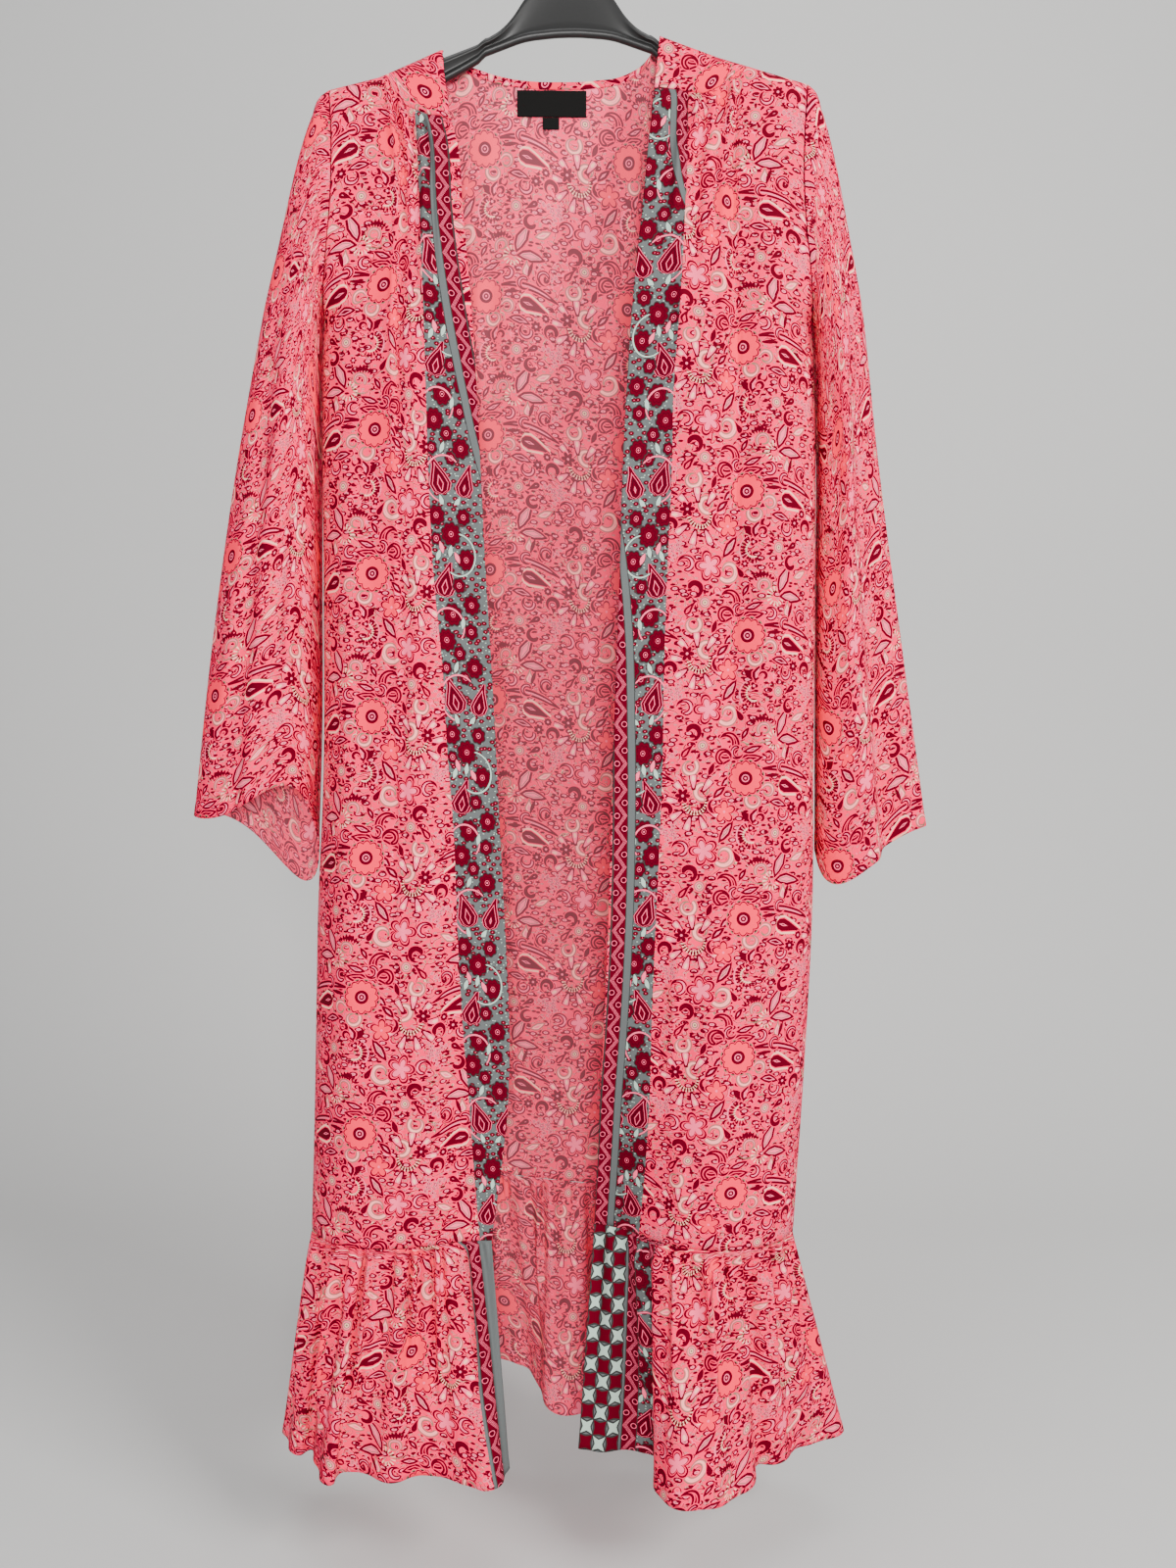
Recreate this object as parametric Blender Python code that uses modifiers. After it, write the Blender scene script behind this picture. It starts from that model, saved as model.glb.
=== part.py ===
"""Long open kimono coat with a gathered ruffle, hung on a broad plastic hanger.

Metres. +Z is up, the coat's front faces -Y, and +X is the wearer's left.
The origin is the inner crown of the hanger's hook, where the rail touches it.
Every cut piece of cloth is its own solid, a thin wall that follows one surface.
"right" and "left" are the wearer's right and left.
"""
import math

import bpy
import numpy as np

OBJECT_NAME = "kimono_coat"

# Cloth sizes
WALL = 0.0015
BINDING_WALL = 0.0024
LABEL_WALL = 0.0010
SEAM_GAP = 0.0003
TURN = 0.003

# Levels below the hook
UNDERARM_Z = -0.335
ARMHOLE_WIDEST_Z = -0.250
SEAM_Z = -1.125
HEM_Z = -1.322

# How far the body stands away from the hanger's plane
FRONT_SWELL = 0.050
BACK_SWELL = 0.052
SWELL_DROP = 0.30
SIDE_ROUND = 0.070

# Neck
BINDING_HEIGHT = 0.0055
BINDING_TAPER = 0.018
BINDING_GAP = 0.0008
LABEL_X = (-0.0435, 0.0150)
LABEL_Z = (-0.1640, -0.1440)
TAB_X = (-0.0220, -0.0080)
TAB_Z = (-0.1735, -0.1645)

# Gathers where the fronts meet the yokes
GATHER_COUNT = 5
GATHER_SHARES = (0.15, 0.70)
GATHER_RISE = 0.0022
GATHER_FADE = 0.085

# Gathers of the ruffle
RUFFLE_GAP = 0.0005
RUFFLE_GATHERS_FRONT = 9
RUFFLE_GATHERS_BACK = 16
RUFFLE_GATHER_RISE = 0.0022
COLUMNS_PER_GATHER = 4

# Hanger
HANGER_CLEARANCE = 0.0006
NECK_CLEARANCE = 0.0018
HANGER_TILT = 0.021
RIM_RADIUS = 0.0035
HOOK_WIRE_RADIUS = 0.0019
HOOK_INNER_RADIUS = 0.020
HOOK_SIDES = 10


def table(columns, *rows):
    """Rows of numbers under named columns."""
    names = columns.split()
    return {name: np.array([row[i] for row in rows], float) for i, name in enumerate(names)}


# Top line of the coat over the hanger's arms, across the neck too
SHOULDER_LINE = table(
    "x z",
    (-0.2300, -0.1640),
    (-0.1985, -0.1520),
    (-0.1570, -0.1415),
    (-0.1305, -0.1300),
    (-0.1055, -0.1190),
    (0.0756, -0.1068),
    (0.1000, -0.1155),
    (0.1246, -0.1242),
    (0.1533, -0.1325),
    (0.1985, -0.1455),
    (0.2300, -0.1560),
)

# Half thickness of the cloth's fold over the hanger's arm
CREST_RADIUS = table(
    "x radius",
    (0.000, 0.0075),
    (0.075, 0.0078),
    (0.120, 0.0102),
    (0.160, 0.0130),
    (0.200, 0.0150),
    (0.240, 0.0155),
)

# Top edge of the binding across the back neck
NECK_LINE = table(
    "x z",
    (-0.1055, -0.1190),
    (-0.0816, -0.1266),
    (-0.0600, -0.1330),
    (-0.0395, -0.1363),
    (-0.0106, -0.1372),
    (0.0225, -0.1358),
    (0.0473, -0.1315),
    (0.0639, -0.1218),
    (0.0756, -0.1068),
)
NECK_ENDS = (-0.1055, 0.0756)

# Armhole line and side seam, as distances from the middle
SIDE_LINE = table(
    "z right left",
    (-0.140, 0.1975, 0.1975),
    (-0.200, 0.1935, 0.1935),
    (-0.260, 0.1945, 0.1945),
    (-0.300, 0.1990, 0.1995),
    (-0.335, 0.2045, 0.2055),
    (-0.420, 0.2080, 0.2110),
    (-0.560, 0.2090, 0.2140),
    (-0.730, 0.2115, 0.2160),
    (-0.840, 0.2175, 0.2175),
    (-0.920, 0.2200, 0.2155),
    (-1.020, 0.2230, 0.2115),
    (-1.125, 0.2270, 0.2066),
)

# Open front edges
EDGE_LINE = table(
    "z right left",
    (-0.107, -0.1050, 0.0756),
    (-0.142, -0.1020, 0.0722),
    (-0.180, -0.0961, 0.0685),
    (-0.198, -0.0912, 0.0665),
    (-0.255, -0.0857, 0.0612),
    (-0.312, -0.0803, 0.0553),
    (-0.379, -0.0752, 0.0507),
    (-0.468, -0.0703, 0.0465),
    (-0.550, -0.0662, 0.0447),
    (-0.640, -0.0606, 0.0420),
    (-0.755, -0.0548, 0.0390),
    (-0.870, -0.0489, 0.0365),
    (-0.935, -0.0462, 0.0344),
    (-1.000, -0.0476, 0.0316),
    (-1.064, -0.0541, 0.0297),
    (-1.125, -0.0622, 0.0270),
)

# How far the open edge is set back from the rest of its front
EDGE_SETBACK = table(
    "z right left",
    (-0.107, 0.000, 0.000),
    (-0.600, 0.002, 0.002),
    (-0.850, 0.003, 0.012),
    (-1.000, 0.006, 0.028),
    (-1.125, 0.012, 0.044),
)
SETBACK_REACH = 0.085

# Seam under each yoke, as its drop below the shoulder line
YOKE_SEAM_RIGHT = table(
    "x drop",
    (0.0900, 0.0660),
    (0.0960, 0.0635),
    (0.1146, 0.0540),
    (0.1340, 0.0380),
    (0.1430, 0.0210),
    (0.1490, 0.0080),
    (0.1535, 0.0020),
    (0.1575, 0.0000),
    (0.2200, 0.0000),
)
YOKE_SEAM_LEFT = table(
    "x drop",
    (0.0640, 0.0480),
    (0.0715, 0.0470),
    (0.0870, 0.0440),
    (0.1110, 0.0390),
    (0.1250, 0.0280),
    (0.1360, 0.0150),
    (0.1440, 0.0060),
    (0.1490, 0.0018),
    (0.1535, 0.0000),
    (0.2200, 0.0000),
)
YOKE_SEAMS = {"right": YOKE_SEAM_RIGHT, "left": YOKE_SEAM_LEFT}

# Long soft folds of the fronts: place at the top and foot, reach, width, rise to the viewer
FOLDS_RIGHT = table(
    "top_x foot_x top_z foot_z width rise",
    (-0.132, -0.112, -0.240, -0.860, 0.014, 0.0050),
    (-0.158, -0.168, -0.200, -0.780, 0.016, -0.0040),
    (-0.178, -0.188, -0.420, -1.060, 0.014, 0.0040),
    (-0.120, -0.140, -0.760, -1.125, 0.018, 0.0045),
    (-0.092, -0.088, -0.700, -1.125, 0.012, -0.0035),
)
FOLDS_LEFT = table(
    "top_x foot_x top_z foot_z width rise",
    (0.112, 0.104, -0.200, -0.640, 0.013, 0.0045),
    (0.140, 0.136, -0.180, -0.900, 0.015, -0.0045),
    (0.165, 0.170, -0.200, -0.760, 0.015, 0.0045),
    (0.120, 0.128, -0.700, -1.125, 0.020, 0.0050),
    (0.190, 0.182, -0.560, -1.060, 0.013, -0.0035),
)
FOLDS_BACK = table(
    "top_x foot_x top_z foot_z width rise",
    (-0.150, -0.165, -0.260, -1.125, 0.022, 0.0060),
    (-0.095, -0.100, -0.200, -1.050, 0.020, -0.0050),
    (-0.030, -0.042, -0.300, -1.125, 0.022, 0.0055),
    (0.028, 0.010, -0.240, -1.125, 0.024, -0.0060),
    (0.090, 0.080, -0.220, -1.060, 0.022, 0.0060),
    (0.150, 0.155, -0.260, -1.125, 0.022, -0.0050),
)
FOLDS = {"right": FOLDS_RIGHT, "left": FOLDS_LEFT, "back": FOLDS_BACK}

# Seam between the back and its ruffle
BACK_SEAM_LINE = table(
    "x z",
    (-0.230, -1.125),
    (-0.150, -1.118),
    (-0.070, -1.108),
    (0.010, -1.117),
    (0.080, -1.121),
    (0.210, -1.125),
)

# Plan of the ruffle's hem, from the open edge to the side seam
HEM_RIGHT = table(
    "x y",
    (-0.0460, -0.062),
    (-0.0520, -0.082),
    (-0.0660, -0.092),
    (-0.0820, -0.082),
    (-0.0980, -0.077),
    (-0.1180, -0.070),
    (-0.1380, -0.080),
    (-0.1580, -0.078),
    (-0.1780, -0.066),
    (-0.1900, -0.070),
    (-0.1960, -0.084),
    (-0.2060, -0.078),
    (-0.2140, -0.058),
    (-0.2240, -0.040),
    (-0.2310, -0.046),
    (-0.2400, -0.040),
    (-0.2500, -0.022),
    (-0.2550, -0.010),
    (-0.2555, -0.003),
)
HEM_LEFT = table(
    "x y",
    (0.0139, -0.035),
    (0.0300, -0.040),
    (0.0480, -0.036),
    (0.0680, -0.040),
    (0.0820, -0.043),
    (0.0880, -0.056),
    (0.0820, -0.074),
    (0.0800, -0.092),
    (0.0880, -0.106),
    (0.1040, -0.113),
    (0.1250, -0.112),
    (0.1400, -0.101),
    (0.1560, -0.092),
    (0.1660, -0.072),
    (0.1720, -0.056),
    (0.1840, -0.054),
    (0.1980, -0.048),
    (0.2120, -0.030),
    (0.2240, -0.026),
    (0.2380, -0.022),
    (0.2500, -0.014),
    (0.2560, -0.007),
    (0.2565, -0.003),
)
HEM_BACK = table(
    "x y",
    (-0.2555, 0.003),
    (-0.2540, 0.012),
    (-0.2440, 0.032),
    (-0.2260, 0.044),
    (-0.2060, 0.046),
    (-0.1900, 0.064),
    (-0.1700, 0.078),
    (-0.1500, 0.064),
    (-0.1320, 0.058),
    (-0.1120, 0.080),
    (-0.0900, 0.092),
    (-0.0660, 0.080),
    (-0.0480, 0.070),
    (-0.0340, 0.072),
    (-0.0250, 0.052),
    (-0.0160, 0.034),
    (0.0000, 0.030),
    (0.0160, 0.036),
    (0.0300, 0.058),
    (0.0480, 0.078),
    (0.0680, 0.074),
    (0.0860, 0.058),
    (0.1060, 0.068),
    (0.1260, 0.088),
    (0.1480, 0.080),
    (0.1640, 0.062),
    (0.1820, 0.060),
    (0.2020, 0.066),
    (0.2200, 0.050),
    (0.2360, 0.040),
    (0.2500, 0.024),
    (0.2560, 0.011),
    (0.2565, 0.003),
)
BACK_HEM_DROP = table(
    "x drop",
    (-0.260, 0.000),
    (-0.120, -0.006),
    (-0.036, -0.010),
    (-0.014, 0.006),
    (0.080, 0.004),
    (0.260, 0.000),
)

# Sleeves, a row per station from the armhole down to the cuff
SLEEVE_RIGHT = table(
    "share outer_x outer_z inner_x inner_z front_depth back_depth front_lift back_drop pleat",
    (0.00, 0.1985, -0.1520, 0.2060, -0.3350, 0.036, 0.036, 0.000, 0.000, 0.000),
    (0.05, 0.2190, -0.1660, 0.2100, -0.3600, 0.034, 0.034, 0.000, 0.000, 0.000),
    (0.25, 0.2490, -0.3035, 0.2115, -0.4440, 0.033, 0.030, 0.004, 0.004, 0.000),
    (0.50, 0.2800, -0.4550, 0.2125, -0.5560, 0.033, 0.028, 0.012, 0.014, 0.003),
    (0.75, 0.3045, -0.6060, 0.2140, -0.6640, 0.034, 0.028, 0.030, 0.034, 0.006),
    (1.00, 0.3240, -0.7580, 0.2190, -0.7740, 0.036, 0.030, 0.062, 0.074, 0.008),
)
SLEEVE_LEFT = table(
    "share outer_x outer_z inner_x inner_z front_depth back_depth front_lift back_drop pleat",
    (0.00, 0.1985, -0.1455, 0.2068, -0.3350, 0.036, 0.036, 0.000, 0.000, 0.000),
    (0.05, 0.2150, -0.1590, 0.2120, -0.3600, 0.034, 0.034, 0.000, 0.000, 0.000),
    (0.25, 0.2435, -0.3000, 0.2150, -0.4440, 0.030, 0.030, -0.004, -0.004, 0.002),
    (0.50, 0.2660, -0.4550, 0.2165, -0.5560, 0.020, 0.028, -0.014, -0.010, 0.008),
    (0.75, 0.2910, -0.6100, 0.2180, -0.6700, 0.012, 0.028, -0.028, -0.018, 0.018),
    (1.00, 0.3165, -0.7650, 0.2205, -0.7900, 0.010, 0.030, -0.040, -0.024, 0.026),
)
SLEEVES = {"right": SLEEVE_RIGHT, "left": SLEEVE_LEFT}
SLEEVE_PLEAT_AT = 0.46
SLEEVE_STATIONS = (0.0, 0.02, 0.05, 0.10, 0.17, 0.26, 0.37, 0.49, 0.61, 0.73, 0.84, 0.93, 1.0)
SLEEVE_SIDES = 24

# Hanger body, a row per section from the middle out to the arm's end
HANGER_SECTIONS = table(
    "x top bottom top_half",
    (0.0000, -0.0520, -0.1070, 0.0055),
    (0.0100, -0.0530, -0.1072, 0.0055),
    (0.0200, -0.0590, -0.1080, 0.0055),
    (0.0300, -0.0685, -0.1090, 0.0055),
    (0.0380, -0.0790, -0.1105, 0.0055),
    (0.0460, -0.0905, -0.1130, 0.0056),
    (0.0560, -0.1005, -0.1165, 0.0058),
    (0.0660, -0.1065, -0.1200, 0.0060),
)
HANGER_ARM = table(
    "x height",
    (0.0760, 0.0150),
    (0.0900, 0.0175),
    (0.1060, 0.0195),
    (0.1300, 0.0210),
    (0.1550, 0.0215),
    (0.1750, 0.0215),
    (0.1880, 0.0210),
)

FRONT_ROWS = (
    0.0, 0.0008, 0.003, 0.008, 0.016, 0.030, 0.055, 0.095, 0.140, 0.188,
    0.260, 0.370, 0.490, 0.620, 0.750, 0.880, 1.0,
)
BACK_ROWS = (
    0.0, 0.0008, 0.003, 0.008, 0.016, 0.030, 0.070, 0.130, 0.188,
    0.280, 0.400, 0.530, 0.670, 0.800, 0.910, 1.0,
)
NECK_COLUMNS = (
    0.238, 0.252, 0.275, 0.310, 0.355, 0.405, 0.455, 0.505, 0.555, 0.600, 0.635,
    0.660, 0.675, 0.687,
)
BACK_COLUMNS = (
    (0.012, 0.035, 0.075, 0.130, 0.185, 0.232) + NECK_COLUMNS
    + (0.693, 0.745, 0.805, 0.870, 0.925, 0.965, 0.988)
)
RUFFLE_ROWS = (0.0, 0.03, 0.16, 0.42, 0.72, 1.0)
SIGN = {"right": -1.0, "left": 1.0}


def smooth(low, high, value):
    """Ease from 0 at low to 1 at high."""
    share = np.clip((value - low) / (high - low), 0.0, 1.0)
    return share * share * (3.0 - 2.0 * share)


def flow(rows, key, column, place):
    """Value of a column at a place, on a smooth line through the rows."""
    order = np.argsort(rows[key])
    keys = rows[key][order]
    values = rows[column][order]
    slopes = np.gradient(values, keys)
    place = np.clip(place, keys[0], keys[-1])
    i = np.clip(np.searchsorted(keys, place) - 1, 0, len(keys) - 2)
    step = keys[i + 1] - keys[i]
    t = (place - keys[i]) / step
    return (
        (2 * t**3 - 3 * t**2 + 1) * values[i]
        + (t**3 - 2 * t**2 + t) * step * slopes[i]
        + (3 * t**2 - 2 * t**3) * values[i + 1]
        + (t**3 - t**2) * step * slopes[i + 1]
    )


def shoulder_z(x):
    """Height of the coat's top line, straight between its rows."""
    return np.interp(x, SHOULDER_LINE["x"], SHOULDER_LINE["z"])


def side_x(side, z):
    return flow(SIDE_LINE, "z", side, z)


def armhole_share(z):
    """1 where the side is the open armhole, 0 below it where front meets back."""
    down = np.clip((ARMHOLE_WIDEST_Z - z) / (ARMHOLE_WIDEST_Z - UNDERARM_Z), 0.0, 1.0)
    return np.sqrt(1.0 - down * down)


def fall_depth(x, z, swell):
    """Distance of the hanging cloth from the hanger's plane."""
    below = np.maximum(shoulder_z(x) - z, 0.0)
    radius = flow(CREST_RADIUS, "x", "radius", abs(x))
    share = np.clip(below / radius, 0.0, 1.0)
    cap = radius * np.sqrt(share * (2.0 - share))
    return cap + swell * (1.0 - np.exp(-below / SWELL_DROP))


def fold_rise(rows, x, z):
    """Height of the long soft folds towards the viewer."""
    rise = 0.0
    for top_x, foot_x, top_z, foot_z, width, height in zip(*(rows[name] for name in rows)):
        down = (z - top_z) / (foot_z - top_z)
        middle = top_x + (foot_x - top_x) * down
        fade = smooth(0.0, 0.25, down) * (1.0 - smooth(0.8, 1.1, down))
        rise = rise + height * fade * np.exp(-(((x - middle) / width) ** 2))
    return rise


def gather_rise(share, below_seam):
    """Small gathers that fan out below a yoke's seam."""
    low, high = GATHER_SHARES
    place = np.clip((share - low) / (high - low), 0.0, 1.0)
    ends = smooth(0.0, 0.12, place) * (1.0 - smooth(0.88, 1.0, place))
    start = smooth(0.0, 0.012, below_seam)
    fade = math.exp(-max(below_seam - 0.012, 0.0) / GATHER_FADE)
    return GATHER_RISE * ends * start * fade * math.sin(2.0 * math.pi * GATHER_COUNT * place)


def front_point(side, share, z, below_seam=None):
    """Point of a front, share 0 on the open edge and 1 at the side."""
    sign = SIGN[side]
    edge = flow(EDGE_LINE, "z", side, z)
    outer = sign * side_x(side, z)
    x = edge + (outer - edge) * share
    inward = abs(outer - x)
    opened = armhole_share(z)
    bend = math.sqrt(1.0 - (1.0 - min(inward / SIDE_ROUND, 1.0)) ** 2)
    depth = fall_depth(x, z, FRONT_SWELL) * (opened + (1.0 - opened) * bend)
    setback = flow(EDGE_SETBACK, "z", side, z) * (1.0 - smooth(0.0, SETBACK_REACH, abs(x - edge)))
    side_fade = smooth(0.0, 0.03, inward)
    depth = depth - setback + fold_rise(FOLDS[side], x, z) * side_fade
    if below_seam is not None:
        depth = depth + gather_rise(share, below_seam)
    return x, -depth, z


def back_point(share, z):
    """Point of the back, share 0 at the wearer's right side and 1 at the left."""
    right = -side_x("right", z)
    left = side_x("left", z)
    x = right + (left - right) * share
    inward = min(x - right, left - x)
    opened = armhole_share(z)
    bend = math.sqrt(1.0 - (1.0 - min(max(inward, 0.0) / SIDE_ROUND, 1.0)) ** 2)
    depth = fall_depth(x, z, BACK_SWELL) * (opened + (1.0 - opened) * bend)
    depth = depth - fold_rise(FOLDS["back"], x, z) * smooth(0.0, 0.03, inward)
    return x, depth, z


def side_end(side, face, z):
    """Two last points of a panel at the side: a short straight turn, then its edge."""
    x = SIGN[side] * side_x(side, z)
    opened = armhole_share(z)
    swell = FRONT_SWELL if face < 0 else BACK_SWELL
    edge_y = max(float(fall_depth(x, z, swell)) * opened, SEAM_GAP / 2)
    along_x = math.sqrt(opened)
    near = (x - SIGN[side] * TURN * along_x, face * (edge_y + TURN * (1.0 - along_x)), z)
    return near, (x, face * edge_y, z)


def yoke_drop(side, x):
    """Drop of the yoke's seam below the shoulder line."""
    return float(np.interp(abs(x), YOKE_SEAMS[side]["x"], YOKE_SEAMS[side]["drop"]))


def column_top(side, share):
    """Height at which a front's column starts, on the yoke seam or the shoulder line."""
    z = -0.15
    for _ in range(12):
        x = front_point(side, share, z)[0]
        z = float(shoulder_z(x)) - yoke_drop(side, x)
    return z


def column_crest(side, share):
    """Height at which a front's column would reach the shoulder line."""
    z = -0.13
    for _ in range(12):
        z = float(shoulder_z(front_point(side, share, z)[0]))
    return z


def gather_columns():
    """Shares of a front's columns, close together where it is gathered."""
    low, high = GATHER_SHARES
    count = GATHER_COUNT * COLUMNS_PER_GATHER
    middle = [low + (high - low) * i / count for i in range(count + 1)]
    return [0.0, 0.03, 0.07, 0.11] + middle + [0.75, 0.81, 0.87, 0.92, 0.96]


def top_clearance(z, top, y, face):
    """Keep the first row of a panel just off the shoulder line."""
    if top - z < 1e-6:
        return face * max(abs(y), SEAM_GAP)
    return y


def front_grid(side):
    """Columns of points of one front, from its open edge to its side."""
    grid = []
    for share in gather_columns():
        top = column_top(side, share)
        drop = float(shoulder_z(front_point(side, share, top)[0])) - top
        column = []
        for row in FRONT_ROWS:
            z = top + (SEAM_Z - top) * row
            if drop > 1e-4:
                z = z - (1.0 - row) * SEAM_GAP
            x, y, z = front_point(side, share, z, (top - z) if drop > 0.004 else None)
            column.append((x, top_clearance(z, top, y, -1), z))
        grid.append(column)
    top = float(shoulder_z(SIGN[side] * side_x(side, -0.15)))
    near_column = []
    end_column = []
    for row in FRONT_ROWS:
        near, end = side_end(side, -1, top + (SEAM_Z - top) * row)
        near_column.append(near)
        end_column.append(end)
    return grid + [near_column, end_column]


def yoke_grid(side):
    """Columns of points of one yoke, from the neck edge out to its tip."""
    tip = 0.0
    while yoke_drop(side, front_point(side, tip, column_top(side, tip))[0]) > 0.0012:
        tip += 0.002
    grid = []
    for share in [share for share in gather_columns() if share < tip - 0.01] + [tip]:
        top = column_crest(side, share)
        height = max(top - column_top(side, share) - SEAM_GAP, 0.0)
        column = []
        for j in range(8):
            z = top - height * (j / 7) ** 3
            if share == tip:
                z = top - 0.0004
            x, y, z = front_point(side, share, z)
            column.append((x, top_clearance(z, top, y, -1), z))
        grid.append(column)
    return grid


def binding_height(x):
    inside = min(x - NECK_ENDS[0], NECK_ENDS[1] - x)
    return 0.0015 + (BINDING_HEIGHT - 0.0015) * float(smooth(0.0, BINDING_TAPER, inside))


def neck_z(x):
    return float(flow(NECK_LINE, "x", "z", x))


def back_top(x):
    """Top of the back: its shoulder line, or the neck's edge under the binding."""
    if NECK_ENDS[0] < x < NECK_ENDS[1]:
        inside = min(x - NECK_ENDS[0], NECK_ENDS[1] - x)
        gap = BINDING_GAP * (2.0 - float(smooth(0.0, 0.010, inside)))
        return neck_z(x) - binding_height(x) - gap
    return float(shoulder_z(x))


def back_foot(x):
    return float(flow(BACK_SEAM_LINE, "x", "z", x))


def back_grid():
    """Columns of points of the back, from the wearer's right side to the left."""
    ends = {}
    for side in ("right", "left"):
        top = float(shoulder_z(SIGN[side] * side_x(side, -0.15)))
        levels = [top + (SEAM_Z - top) * row for row in BACK_ROWS]
        ends[side] = [[side_end(side, 1, z)[pick] for z in levels] for pick in (0, 1)]
    grid = [ends["right"][1], ends["right"][0]]
    for share in BACK_COLUMNS:
        top = -0.15
        for _ in range(12):
            x = back_point(share, top)[0]
            top = back_top(x)
        foot = -1.12
        for _ in range(6):
            foot = back_foot(back_point(share, foot)[0])
        column = []
        for row in BACK_ROWS:
            z = top + (foot - top) * row
            x, y, z = back_point(share, z)
            column.append((x, top_clearance(z, top, y, 1), z))
        grid.append(column)
    return grid + ends["left"]


def binding_grid():
    """Narrow band along the back neck, above the back's own edge."""
    grid = []
    for share in NECK_COLUMNS:
        x = back_point(share, neck_z(0.0))[0]
        column = []
        for j in range(3):
            column.append(back_point(share, neck_z(x) - binding_height(x) * j / 2))
        grid.append(column)
    return grid


def patch_grid(x_range, z_range, lift, across, down):
    """Small flat piece that lies on the inside of the back."""
    grid = []
    for i in range(across + 1):
        x = x_range[0] + (x_range[1] - x_range[0]) * i / across
        column = []
        for j in range(down + 1):
            z = z_range[1] + (z_range[0] - z_range[1]) * j / down
            depth = float(fall_depth(x, z, BACK_SWELL)) - float(fold_rise(FOLDS["back"], x, z))
            column.append((x, depth - lift, z))
        grid.append(column)
    return grid


def along(points, share):
    """Point at a share of the length of a line, smooth through its points."""
    points = np.array(points, float)
    lengths = np.concatenate([[0.0], np.cumsum(np.linalg.norm(np.diff(points, axis=0), axis=1))])
    rows = {"s": lengths / lengths[-1], "x": points[:, 0], "y": points[:, 1]}
    return float(flow(rows, "s", "x", share)), float(flow(rows, "s", "y", share))


def ruffle_wave(share, down, gathers):
    """Gathers of the ruffle: small at its seam, soft lower down, none at its ends."""
    ends = float(smooth(0.0, 0.03, share) * (1.0 - smooth(0.95, 1.0, share)))
    size = 0.25 + 0.75 * float(smooth(0.0, 0.12, down)) - 0.55 * float(smooth(0.3, 1.0, down))
    return RUFFLE_GATHER_RISE * ends * size * math.sin(2.0 * math.pi * gathers * share)


def ruffle_grid(seam_line, hem_line, gathers, outward, seam_z, hem_z, end_columns):
    """Columns of points of a ruffle between its gathered seam and its hem."""
    count = gathers * COLUMNS_PER_GATHER
    grid = []
    for i in range(count + 1):
        share = i / count
        ahead = min(share + 0.004, 1.0)
        behind = max(share - 0.004, 0.0)
        column = []
        for down in RUFFLE_ROWS:
            opened = max(down - 0.02, 0.0) / 0.98
            seam_x, seam_y = along(seam_line, share)
            hem_x, hem_y = along(hem_line, share)
            x = seam_x + (hem_x - seam_x) * opened
            y = seam_y + (hem_y - seam_y) * opened
            dx = 0.0
            dy = 0.0
            for line, weight in ((seam_line, 1.0 - opened), (hem_line, opened)):
                forward_point = along(line, ahead)
                behind_point = along(line, behind)
                dx += weight * (forward_point[0] - behind_point[0])
                dy += weight * (forward_point[1] - behind_point[1])
            length = math.hypot(dx, dy)
            wave = outward * ruffle_wave(share, down, gathers)
            top = seam_z(seam_x) - RUFFLE_GAP
            z = top + (hem_z(hem_x) - top) * down
            column.append((x + wave * dy / length, y - wave * dx / length, z))
        grid.append(column)
    first = [(x, math.copysign(SEAM_GAP / 2, y), z) for x, y, z in grid[0]]
    last = [(x, math.copysign(SEAM_GAP / 2, y), z) for x, y, z in grid[-1]]
    if "first" in end_columns:
        grid = [first] + grid
    if "last" in end_columns:
        grid = grid + [last]
    return grid


def front_ruffle_grid(side):
    seam_line = [front_point(side, share, SEAM_Z)[:2] for share in np.linspace(0.0, 0.96, 25)]
    seam_line.append(side_end(side, -1, SEAM_Z)[0][:2])
    hem = HEM_RIGHT if side == "right" else HEM_LEFT
    hem_line = list(zip(hem["x"], hem["y"]))
    return ruffle_grid(
        seam_line, hem_line, RUFFLE_GATHERS_FRONT, -SIGN[side],
        lambda x: SEAM_Z, lambda x: HEM_Z, ("last",),
    )


def back_ruffle_grid():
    seam_line = [side_end("right", 1, SEAM_Z)[0][:2]]
    seam_line += [back_point(share, back_foot(0.0))[:2] for share in np.linspace(0.03, 0.97, 48)]
    seam_line.append(side_end("left", 1, SEAM_Z)[0][:2])
    hem_line = list(zip(HEM_BACK["x"], HEM_BACK["y"]))
    return ruffle_grid(
        seam_line, hem_line, RUFFLE_GATHERS_BACK, -1.0,
        back_foot, lambda x: HEM_Z - float(flow(BACK_HEM_DROP, "x", "drop", x)),
        ("first", "last"),
    )


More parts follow.
